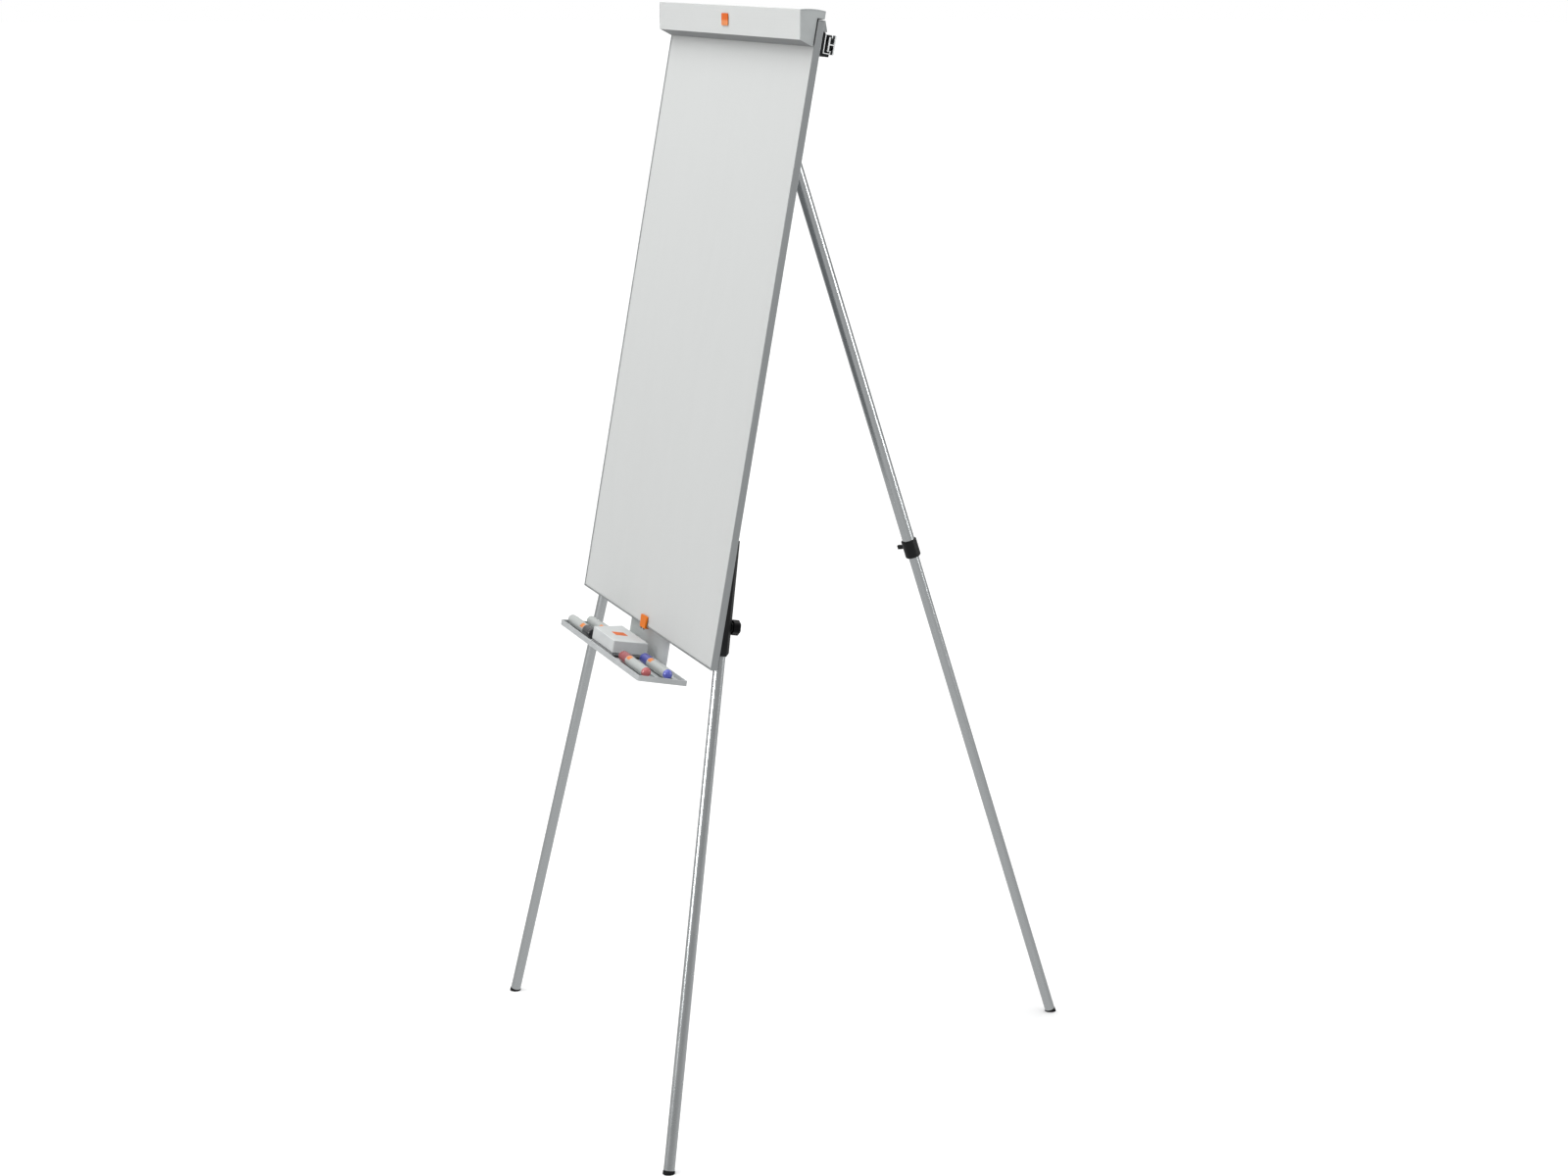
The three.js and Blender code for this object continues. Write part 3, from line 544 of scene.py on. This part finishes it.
def dress(node, slot):
    """Gives its material to a CAD node that no piece stands for."""
    for mesh_slot in frame["nodes"][node].material_slots:
        mesh_slot.link = "OBJECT"
        mesh_slot.material = materials[slot]


# ---------- board ----------

# turns a local z to the board's back, and a local -y up the board
quarter_turn = Matrix.Rotation(-math.pi / 2, 4, "X")


def rivet(name, x, y, z):
    """A dimpled dome head that stands on a face at the board's back."""
    radius, proud, sunk = 3.2 * mm, 1.3 * mm, 0.2 * mm
    dimple = [(radius * 0.3, proud * 0.97), (radius * 0.24, proud * 0.72), (0, proud * 0.7)]
    bm = turned([(0, -sunk), (radius, -sunk), *dome(radius, proud, 7), *dimple], steps=28)
    place = board @ Matrix.Translation((x, y, z)) @ quarter_turn
    piece(name, bm, place, "board", materials["steel"])


def rivets(kind, columns, y, rows):
    """A rivet wherever a column and a row cross, numbered from 1."""
    crossings = [(x, z) for x in columns for z in rows]
    for count, (x, z) in enumerate(crossings, 1):
        rivet(f"{kind}_rivet_{count}", x, y, z)


def fixings():
    """The rivets that hold the hinge bracket and the tray's plate to the back of the board."""
    low, high = local_box("rear_hinge_bracket", board)
    plate, inset = 2.5 * mm, 7 * mm
    rivets("hinge", (low.x + inset, high.x - inset), low.y + plate, (low.z + inset, high.z - inset))
    tray_plate_back = local_box("tray_bracket", board)[1].y
    reach = 70 * mm
    rivets("tray", (-reach, reach), tray_plate_back, (30 * mm, 52 * mm))


def board_panel():
    """The panel's three layers, which stay CAD nodes, and the four rails of its frame."""
    for node, slot in (("writing_surface", "enamel"), ("board_core", "core"), ("back_sheet", "back_sheet")):
        dress(node, slot)
    rounding = 0.3 * mm
    for name in ("bottom", "top"):
        refined("frame_rail_" + name, board, "board", "frame", rounding)
    upright = materials["frame_upright"]
    for name in sides:
        refined("frame_rail_" + name, board, "board", "frame", rounding, material=upright)


# ---------- pad clamp ----------

def clamp_end_cap(name):
    """An end cap with a shallow sunk panel in its outer face."""
    node = "clamp_end_cap_" + name
    border, sunk, rounding = 1.8 * mm, 0.5 * mm, 0.7 * mm
    bm = copied(node, board)
    outward = -1 if name == "left" else 1
    outer = [f for f in bm.faces if f.normal.x * outward > 0.9]
    bmesh.ops.inset_region(bm, faces=outer, thickness=border, depth=0)
    panel = [f for f in outer if f.is_valid]
    bmesh.ops.inset_region(bm, faces=panel, thickness=sunk, depth=-sunk)
    soften(bm, rounding, 3, angle=60)
    stand_in(node, bm, board, "clamp", "clamp_cap")


def clamp_spring(name):
    """A spring wound round the hinge pin, as long and as wide as its CAD node."""
    node = "clamp_spring_" + name
    low, high = local_box(node, board)
    radius = (high.z - low.z) / 2
    wire, turns = 0.45 * mm, 7
    pitch = (high.x - low.x - 2 * wire) / turns
    place = board @ Matrix.Translation((low + high) / 2)
    stand_in(node, coil(radius - wire, wire, pitch, turns), place, "board", "steel")


def clamp_grip():
    """The rubber strip under the clamp, with shallow ribs along it."""
    node = "clamp_grip_strip"
    low, high = local_box(node, board)
    bm = slab(low, high, 0.35 * mm)
    ribs, rib_half, proud, sunk = 3, 0.3 * mm, 0.25 * mm, 0.2 * mm
    for i in range(ribs):
        z = low.z + (high.z - low.z) * (i + 1) / (ribs + 1)
        rib = slab((low.x, low.y - proud, z - rib_half), (high.x, low.y + sunk, z + rib_half), 0.12 * mm)
        join(bm, rib)
    stand_in(node, bm, board, "clamp", "rubber")


def rounded_plate(half_width, half_height, corner, thick, edge):
    """A plate in the XZ plane with round corners and softened edges, its back at y = 0, facing -Y."""
    outline = []
    for side, end, start in ((1, -1, -90), (1, 1, 0), (-1, 1, 90), (-1, -1, 180)):
        centre = (side * (half_width - corner), end * (half_height - corner))
        outline += arc(centre, corner, start, start + 90, 8)
    bm = bmesh.new()
    face = bm.faces.new([bm.verts.new((x, 0, z)) for x, z in outline])
    made = bmesh.ops.extrude_face_region(bm, geom=[face])
    moved = [v for v in made["geom"] if isinstance(v, bmesh.types.BMVert)]
    bmesh.ops.translate(bm, verts=moved, vec=(0, -thick, 0))
    bmesh.ops.recalc_face_normals(bm, faces=bm.faces)
    return soften(bm, edge, 3, 40, lambda e: all(v.co.y < -thick / 2 for v in e.verts))


def clamp_badge():
    """A plain badge with round corners on the clamp's face."""
    node = "clamp_badge"
    low, high = local_box(node, board)
    run, rise = 8 * mm, 46 * mm
    lean = math.atan2(run, rise)
    half_height = (high.z - low.z) / 2 / math.cos(lean)
    sunk = 0.3 * mm
    bm = rounded_plate((high.x - low.x) / 2, half_height, corner=2.6 * mm, thick=0.9 * mm, edge=0.3 * mm)
    centre = (low + high) / 2 + Vector((0, sunk, 0))
    place = board @ Matrix.Translation(centre) @ Matrix.Rotation(lean, 4, "X")
    pale_below, deep_above = -half_height * 0.25, half_height * 0.02
    stand_in(node, bm, place, "clamp", "orange", badge_orange(pale_below, deep_above))


def pad_hook(name):
    """A black peg with a collar and a round nose, which slides in the hook rail."""
    node = "pad_hook_" + name
    place, radius, length = along_axis(node, -back, up)
    neck, peg = 2.7 * mm, 5 * mm
    collar_low, collar_high = 5.2 * mm, 7.9 * mm
    edge, slope, nose = 0.5 * mm, 0.3 * mm, 2.4 * mm
    bm = turned([
        (0, 0), (neck, 0), (neck, collar_low - slope), (radius - edge, collar_low),
        (radius, collar_low + edge), (radius, collar_high - edge), (radius - edge, collar_high),
        (peg, collar_high + slope), *arc((peg - nose, length - nose), nose, 0, 80), (0, length),
    ])
    stand_in(node, bm, place, node, "black_plastic")


def pad_clamp():
    """The clamp bar with all that turns with it, and the hinge, springs and hooks behind it."""
    lip_height = 12 * mm
    lip = local_box("clamp_bar", board)[0].z + lip_height
    # the down-facing faces in the clamp's lowest 12 mm take a darker grey, partly its own grey and partly
    # painted shade
    underside_painted_shade = (materials["clamp_inside_painted_shade"], lambda f: f.normal.z < -0.6 and f.calc_center_median().z < lip)
    refined("clamp_bar", board, "clamp", "clamp_shell", 0.5 * mm, 3, second=underside_painted_shade)
    for name in sides:
        clamp_end_cap(name)
    refined("clamp_hinge_leaf", board, "board", "rail", 0.25 * mm, material=materials["frame"])
    refined("clamp_hinge_pin", board, "board", "steel", 0.3 * mm)
    refined("pad_hook_rail", board, "board", "grey_plastic", 0.5 * mm)
    clamp_grip()
    clamp_badge()
    for name in sides:
        clamp_spring(name)
        pad_hook(name)


# ---------- display arms ----------

def display_arms():
    """The rail behind the board and the two arms that slide in it, all with bright cut ends."""
    cut_ends = (materials["rail_cut"], lambda f: abs(f.normal.x) > 0.9)
    refined("arm_rail", board, "board", "rail", 0.3 * mm, second=cut_ends)
    for name in sides:
        node = "display_arm_" + name
        refined(node, board, node, "rail", 0.3 * mm, second=cut_ends)
        refined("arm_rail_bracket_" + name, board, "board", "black_plastic", 0.6 * mm, 3)


# ---------- legs ----------

tube_wall = 1.2 * mm
fit = 0.3 * mm  # the gap between a tube and what fits in it, on it or round it


def tube(node, z, y, body):
    """A tube with its edges broken. Its frame, radius and length are for the parts that fit it."""
    place, radius, length = along_axis(node, z, y)
    edge = 0.3 * mm
    bm = turned([
        (radius - tube_wall, 0), (radius - edge, 0), (radius, edge), (radius, length - edge),
        (radius - edge, length), (radius - tube_wall, length),
    ], ring=True, steps=96)
    stand_in(node, bm, place, body, "leg_tube")
    return place, radius, length


def stem(tube_radius, tube_end, depth):
    """The outline of a stem that fits in a tube's upper end, from its own foot up."""
    radius, foot = tube_radius - tube_wall - fit, tube_end - depth
    taper, lead = 0.6 * mm, 1 * mm
    return [(0, foot), (radius - taper, foot), (radius, foot + lead), (radius, tube_end + fit)]


def rubber_foot(node, tube_place, radius, body):
    """A rubber foot a little wider than its tube, cut flat where it stands on the floor."""
    inner = radius - tube_wall - fit
    low, high = local_box(node, tube_place)
    wide = (high.x - low.x) / 2
    under_floor = low.z - 20 * mm
    soft, chamfer = 1 * mm, 1.5 * mm
    bm = turned([
        (0, under_floor), (wide, under_floor), *arc((wide - soft, -fit - soft), soft, 0, 90, 5),
        (inner, -fit), (inner, high.z - chamfer), (inner - chamfer, high.z), (0, high.z),
    ])
    floor_point = tube_place.inverted() @ Vector((0, 0, 0))
    floor_normal = tube_place.inverted().to_3x3() @ Vector((0, 0, 1))
    geometry = bm.verts[:] + bm.edges[:] + bm.faces[:]
    cut = bmesh.ops.bisect_plane(
        bm, geom=geometry, plane_co=floor_point, plane_no=floor_normal, clear_inner=True
    )
    rim = [e for e in cut["geom_cut"] if isinstance(e, bmesh.types.BMEdge)]
    bmesh.ops.contextual_create(bm, geom=rim)
    bmesh.ops.recalc_face_normals(bm, faces=bm.faces)
    stand_in(node, bm, tube_place, body, "rubber")


def leg_plug(node, place, radius, length, body):
    """The plug on top of a front leg's tube, with a brim wider than the tube."""
    brim = radius + 1.8 * mm
    low, shoulder, top = length + fit, length + 2.6 * mm, length + 5 * mm
    edge, soft = 0.5 * mm, 2 * mm
    bm = turned([
        *stem(radius, length, 16 * mm), (brim - edge, low), (brim, low + edge),
        *arc((brim - soft, shoulder), soft, 0, 80), (radius * 0.5, top), (0, top),
    ])
    stand_in(node, bm, place, body, "black_plastic")


def leg_knob(name):
    """A six-lobed hand knob on a stud, with a narrower disc at its foot and a dished end."""
    node = "leg_knob_" + name
    axis = joint_axis[f"leg_knob_{name}_turn"]
    place, radius, length = along_axis(node, axis, axis.cross(joint_axis[f"front_leg_{name}_slide"]))
    grip, disc, stud = 15.5 * mm, 2.6 * mm, 3 * mm
    start = length - grip
    edge, foot, soft, dish = 0.4 * mm, 1.2 * mm, 2.2 * mm, 1 * mm
    bm = turned([
        (0, 0), (stud - edge, 0), (stud, edge), (stud, start), (radius - disc, start),
        (radius - disc, start + disc), *arc((radius - foot, start + disc + foot), foot, -90, 0, 4),
        *arc((radius - soft, length - soft), soft, 0, 90, 7),
        (radius * 0.55, length), (radius * 0.48, length - 0.8 * dish), (0, length - dish),
    ], lobes=6, dip=1.2 * mm, waist=radius - 2 * disc, steps=96)
    stand_in(node, bm, place, node, "black_plastic", materials["knob_plastic"])


def front_legs():
    """Each front leg's tube, foot and plug, and the sleeve and the knob that hold it."""
    for name in sides:
        leg_up = joint_axis[f"front_leg_{name}_slide"]
        body = "front_leg_" + name
        place, radius, length = tube("front_leg_tube_" + name, leg_up, back, body)
        rubber_foot("front_foot_" + name, place, radius, body)
        leg_plug("front_leg_plug_" + name, place, radius, length, body)
        leg_knob(name)
        refined("leg_housing_" + name, place, "board", "black_plastic", 0.9 * mm, 3)


def collar(upper_place, upper_radius, lower_radius):
    """The clamping collar: a sleeve with a pocket for the upper tube and a bore for the lower one."""
    node = "rear_collar"
    place, radius, length = along_axis(node, rear_up, -across)
    bore, pocket = lower_radius + fit, upper_radius + fit
    step = (place.inverted() @ upper_place.translation).z - fit
    edge, foot, soft = 0.4 * mm, 2.5 * mm, 1 * mm
    bm = turned([
        (bore, edge), (bore + edge, 0), *arc((radius - foot, foot), foot, -90, 0, 6),
        *arc((radius - soft, length - soft), soft, 0, 90, 5),
        (pocket + edge, length), (pocket, length - edge), (pocket, step), (bore, step),
    ], ring=True, steps=96)
    stand_in(node, bm, place, "rear_leg", "black_plastic")


def bush(place, upper_radius, lower_radius, tube_end):
    """The guide bush on top of the lower tube, which runs inside the upper one."""
    wide = upper_radius - tube_wall - fit
    top, soft = tube_end + 10 * mm, 1.8 * mm
    bm = turned([
        *stem(lower_radius, tube_end, 18 * mm), (wide, tube_end + fit),
        *groove(wide, tube_end + 3 * mm, tube_end + 4.8 * mm, depth=0.5 * mm, slope=0.4 * mm),
        *arc((wide - soft, top - soft), soft, 0, 90, 5), (0, top),
    ])
    stand_in("rear_tube_bush", bm, place, "rear_leg_lower", "black_plastic")


def hinge_pin():
    """The pin that the rear leg folds on, with a head at each end."""
    node = "rear_hinge_pin"
    place, head, length = along_axis(node, across, up)
    pin, thick, soft = 4 * mm, 2.2 * mm, 0.9 * mm
    rim = arc((head - soft, soft), soft, -90, 0, 4)
    bm = turned([
        (0, 0), *rim, (head, thick), (pin, thick), (pin, length - thick), (head, length - thick),
        *[(r, length - z) for r, z in reversed(rim)], (0, length),
    ])
    stand_in(node, bm, place, "board", "steel")


def rear_leg():
    """The rear leg's two tubes and their ends, collar and hinge."""
    upper_place, upper_radius, _ = tube("rear_upper_tube", rear_up, -across, "rear_leg")
    lower_place, lower_radius, lower_length = tube("rear_lower_tube", rear_up, -across, "rear_leg_lower")
    rubber_foot("rear_foot", lower_place, lower_radius, "rear_leg_lower")
    collar(upper_place, upper_radius, lower_radius)
    bush(lower_place, upper_radius, lower_radius, lower_length)
    refined("rear_hinge_plug", upper_place, "rear_leg", "black_plastic", 0.6 * mm)
    refined("rear_hinge_bracket", board, "board", "black_plastic", 0.5 * mm)
    hinge_pin()
    screw_place = along_axis("collar_thumb_screw", joint_axis["collar_screw_turn"], rear_up)[0]
    refined("collar_thumb_screw", screw_place, "collar_screw", "black_plastic", 0.5 * mm, 3)


# ---------- tray and what lies in it ----------

# each marker's direction from cap to plug, and how many degrees its label is rolled round the barrel
markers = {"black": (-across, 43), "green": (-across, 30), "red": (across, 122), "blue": (across, 124)}


def pen_tray():
    """The tray and the plate that carries it."""
    refined("pen_tray", board, "board", "tray_plastic", 0.6 * mm, 3)
    refined("tray_bracket", board, "board", "bracket_plate", 0.3 * mm)


def whiteboard_eraser():
    """The eraser's grip and felt, with a plain label on the grip."""
    refined("eraser_grip", board, "eraser", "eraser_plastic", 1.6 * mm, 4)
    refined("eraser_felt", board, "eraser", "felt", 0.5 * mm)
    low, high = local_box("eraser_grip", board)
    half_width, half_height = 13.75 * mm, 11 * mm
    bm = rounded_plate(half_width, half_height, corner=1.2 * mm, thick=0.5 * mm, edge=0.2 * mm)
    aside, sunk = 8 * mm, 0.2 * mm
    centre = ((low.x + high.x) / 2 + aside, (low.y + high.y) / 2, high.z - sunk)
    place = board @ Matrix.Translation(centre) @ quarter_turn
    piece("eraser_label", bm, place, "eraser", materials["label"])


def marker_barrel(body, direction, roll):
    """The labelled barrel. Its nib and neck are inside the cap, and its other end is a little slimmer."""
    node = body + "_barrel"
    place, radius, length = along_axis(node, direction, up)
    cap_place, _, cap_length = along_axis(body + "_cap", direction, up)
    seat = (place.inverted() @ cap_place @ Vector((0, 0, cap_length))).z
    tip, root, nib = 2.6 * mm, 4.2 * mm, 8 * mm
    neck, slim = radius - 2.2 * mm, radius - 0.3 * mm
    slim_start = length - 9 * mm
    soft = 0.4 * mm
    bm = turned([
        (0, 0), (tip, 0), (root, nib), (neck, nib + 0.2 * mm), (neck, seat),
        (radius - soft, seat + fit), (radius, seat + fit + soft), (radius, slim_start),
        (slim, slim_start + soft), (slim, length - soft), (slim - soft, length), (0, length),
    ], steps=56)
    stand_in(node, bm, place, body, "marker_body", marker_body(seat, roll))


def marker_cap(body, direction, slot):
    """The cap: a dimple in its closed end, a groove round it, and a hollow for the nib and neck."""
    node = body + "_cap"
    place, radius, length = along_axis(node, direction, up)
    inner = along_axis(body + "_barrel", direction, up)[1] - 1.7 * mm
    floor = length - 23 * mm
    dimple, dimple_rim, dimple_depth = 3.4 * mm, 4 * mm, 0.6 * mm
    nose, edge = 2.6 * mm, 0.4 * mm
    bm = turned([
        (0, dimple_depth), (dimple, dimple_depth), (dimple_rim, 0),
        *arc((radius - nose, nose), nose, -80, 0, 6),
        *groove(radius, 6.5 * mm, 8.1 * mm, depth=0.45 * mm, slope=0.3 * mm),
        (radius, length - edge), (radius - edge, length), (inner, length), (inner, floor), (0, floor),
    ], steps=56)
    stand_in(node, bm, place, body, slot)


def marker_plug(body, direction, slot, material):
    """The coloured plug in the barrel's end: a thin flange and a dome."""
    node = body + "_end_plug"
    place, radius, length = along_axis(node, direction, up)
    edge, flange, base = 0.3 * mm, 1.6 * mm, 1.8 * mm
    bm = turned([
        (0, 0), (radius - edge, 0), (radius, edge), (radius - edge, flange),
        *dome(radius * 0.93, length - base, 9, base), (0, length),
    ], steps=56)
    stand_in(node, bm, place, body, slot, material)


def marker(color, direction, roll):
    """A marker in the tray, its cap and plug in its ink's colour; the red and blue plugs take a lighter
    copy of their ink, which is painted light.
    """
    body, slot = "marker_" + color, "ink_" + color
    marker_barrel(body, direction, roll)
    marker_cap(body, direction, slot)
    # a lighter plug material where there is one, which is painted light; otherwise the plug takes the cap's
    # ink
    marker_plug(body, direction, slot, materials.get("plug_" + color))


def paper_clip():
    """The orange clip on the board's lower edge, its two prongs dark."""
    prong_height = 2.1 * mm
    prong_top = local_box("paper_clip", board)[0].z + prong_height
    dark = (materials["black_plastic"], lambda f: f.calc_center_median().z < prong_top)
    refined("paper_clip", board, "paper_clip", "orange", 0.5 * mm, 3, second=dark)


# ---------- floor, light and camera ----------

studio_radius = 80
sky_strength = 1.65
# the share of that strength by the height of the direction, from -1 straight down to 1 straight up
sky_levels = (
    (-0.98, 0.46), (-0.55, 0.60), (-0.15, 0.48), (0.08, 0.28), (0.3, 0.42), (0.6, 0.74), (0.98, 1.0)
)


def staged(name, bm, material, casts_shadow=True):
    """A floor or backdrop mesh that the camera sees and that bounces no light on the easel."""
    mesh = bpy.data.meshes.new(name)
    bm.to_mesh(mesh)
    bm.free()
    mesh.materials.append(material)
    obj = bpy.data.objects.new(name, mesh)
    obj.visible_diffuse = False
    obj.visible_glossy = False
    obj.visible_shadow = casts_shadow
    bpy.context.scene.collection.objects.link(obj)


def floor_and_backdrop():
    """A pale floor that runs into a white backdrop far behind the easel."""
    under_feet = 0.2 * mm
    bm = bmesh.new()
    bmesh.ops.create_circle(bm, cap_ends=True, segments=96, radius=studio_radius)
    bmesh.ops.translate(bm, verts=bm.verts, vec=(0, 0, -under_feet))
    staged("floor", bm, surface("floor", srgb(244, 244, 244), 0.9, 0.0, 0.0))
    bm = bmesh.new()
    bmesh.ops.create_uvsphere(bm, u_segments=48, v_segments=24, radius=studio_radius)
    white = surface("backdrop", (0, 0, 0, 1), 1.0, 0.0, 0.0)
    shader = white.node_tree.nodes["Principled BSDF"]
    shader.inputs["Emission Color"].default_value = (1, 1, 1, 1)
    shader.inputs["Emission Strength"].default_value = 1.0
    staged("backdrop", bm, white, casts_shadow=False)


def studio_world():
    """Soft light from overhead, dimmer round the horizon and weak from below."""
    world = bpy.data.worlds.new("studio")
    world.use_nodes = True
    nodes, links = world.node_tree.nodes, world.node_tree.links
    direction = nodes.new("ShaderNodeTexCoord").outputs["Generated"]
    split = nodes.new("ShaderNodeSeparateXYZ")
    links.new(direction, split.inputs["Vector"])
    height = nodes.new("ShaderNodeMapRange")
    height.inputs["From Min"].default_value = -1
    links.new(split.outputs["Z"], height.inputs["Value"])
    ramp = nodes.new("ShaderNodeValToRGB")
    links.new(height.outputs["Result"], ramp.inputs["Fac"])
    stops = ramp.color_ramp.elements
    for z, level in sky_levels:
        stop = stops.new((z + 1) / 2)
        stop.color = (level, level, level, 1)
    # a new ramp has a stop of its own at each end
    stops.remove(stops[0])
    stops.remove(stops[len(stops) - 1])
    background = nodes["Background"]
    links.new(ramp.outputs["Color"], background.inputs["Color"])
    background.inputs["Strength"].default_value = sky_strength
    bpy.context.scene.world = world


def softbox(name, position, target, width, height, power, gloss_only=False):
    """A rectangular light that the camera doesn't see. gloss_only leaves it to the reflections."""
    data = bpy.data.lights.new(name, "AREA")
    data.shape = "RECTANGLE"
    data.size = width
    data.size_y = height
    data.energy = power
    light = bpy.data.objects.new(name, data)
    light.location = position
    aim = Vector(target) - Vector(position)
    light.rotation_euler = aim.to_track_quat("-Z", "Y").to_euler()
    light.visible_camera = False
    light.visible_diffuse = not gloss_only
    bpy.context.scene.collection.objects.link(light)


def softboxes():
    """Two tall strips for the stripes on the tubes, and a soft light from above the front."""
    softbox(
        "front_strip", position=(0.65, -3.3, 1.65), target=(0.3, -0.3, 1.6),
        width=0.95, height=1.6, power=100, gloss_only=True,
    )
    softbox(
        "back_strip", position=(1.9, 3.0, 1.95), target=(0, 0.4, 1.95),
        width=0.6, height=2.2, power=50, gloss_only=True,
    )
    softbox("top", position=(-0.2, -1.3, 3.3), target=(0, -0.2, 1.4), width=1.6, height=1.6, power=24)


def camera():
    """The photograph's camera: where it stands, where it looks and its lens."""
    azimuth, pitch = math.radians(69.36), math.radians(12.19)
    data = bpy.data.cameras.new("camera")
    data.sensor_width = 36
    data.lens = 67.72
    data.clip_end = 3 * studio_radius
    eye = bpy.data.objects.new("camera", data)
    eye.location = (4.6956, -1.8479, 1.9295)
    level = Vector((-math.sin(azimuth), math.cos(azimuth), 0)) * math.cos(pitch)
    gaze = level - Vector((0, 0, math.sin(pitch)))
    eye.rotation_euler = gaze.to_track_quat("-Z", "Y").to_euler()
    bpy.context.scene.collection.objects.link(eye)
    bpy.context.scene.camera = eye


board_panel()
fixings()
pad_clamp()
display_arms()
front_legs()
rear_leg()
pen_tray()
whiteboard_eraser()
for ink_name, (plug_direction, label_roll) in markers.items():
    marker(ink_name, plug_direction, label_roll)
paper_clip()

floor_and_backdrop()
studio_world()
softboxes()
camera()
bpy.context.scene.view_settings.view_transform = "Standard"
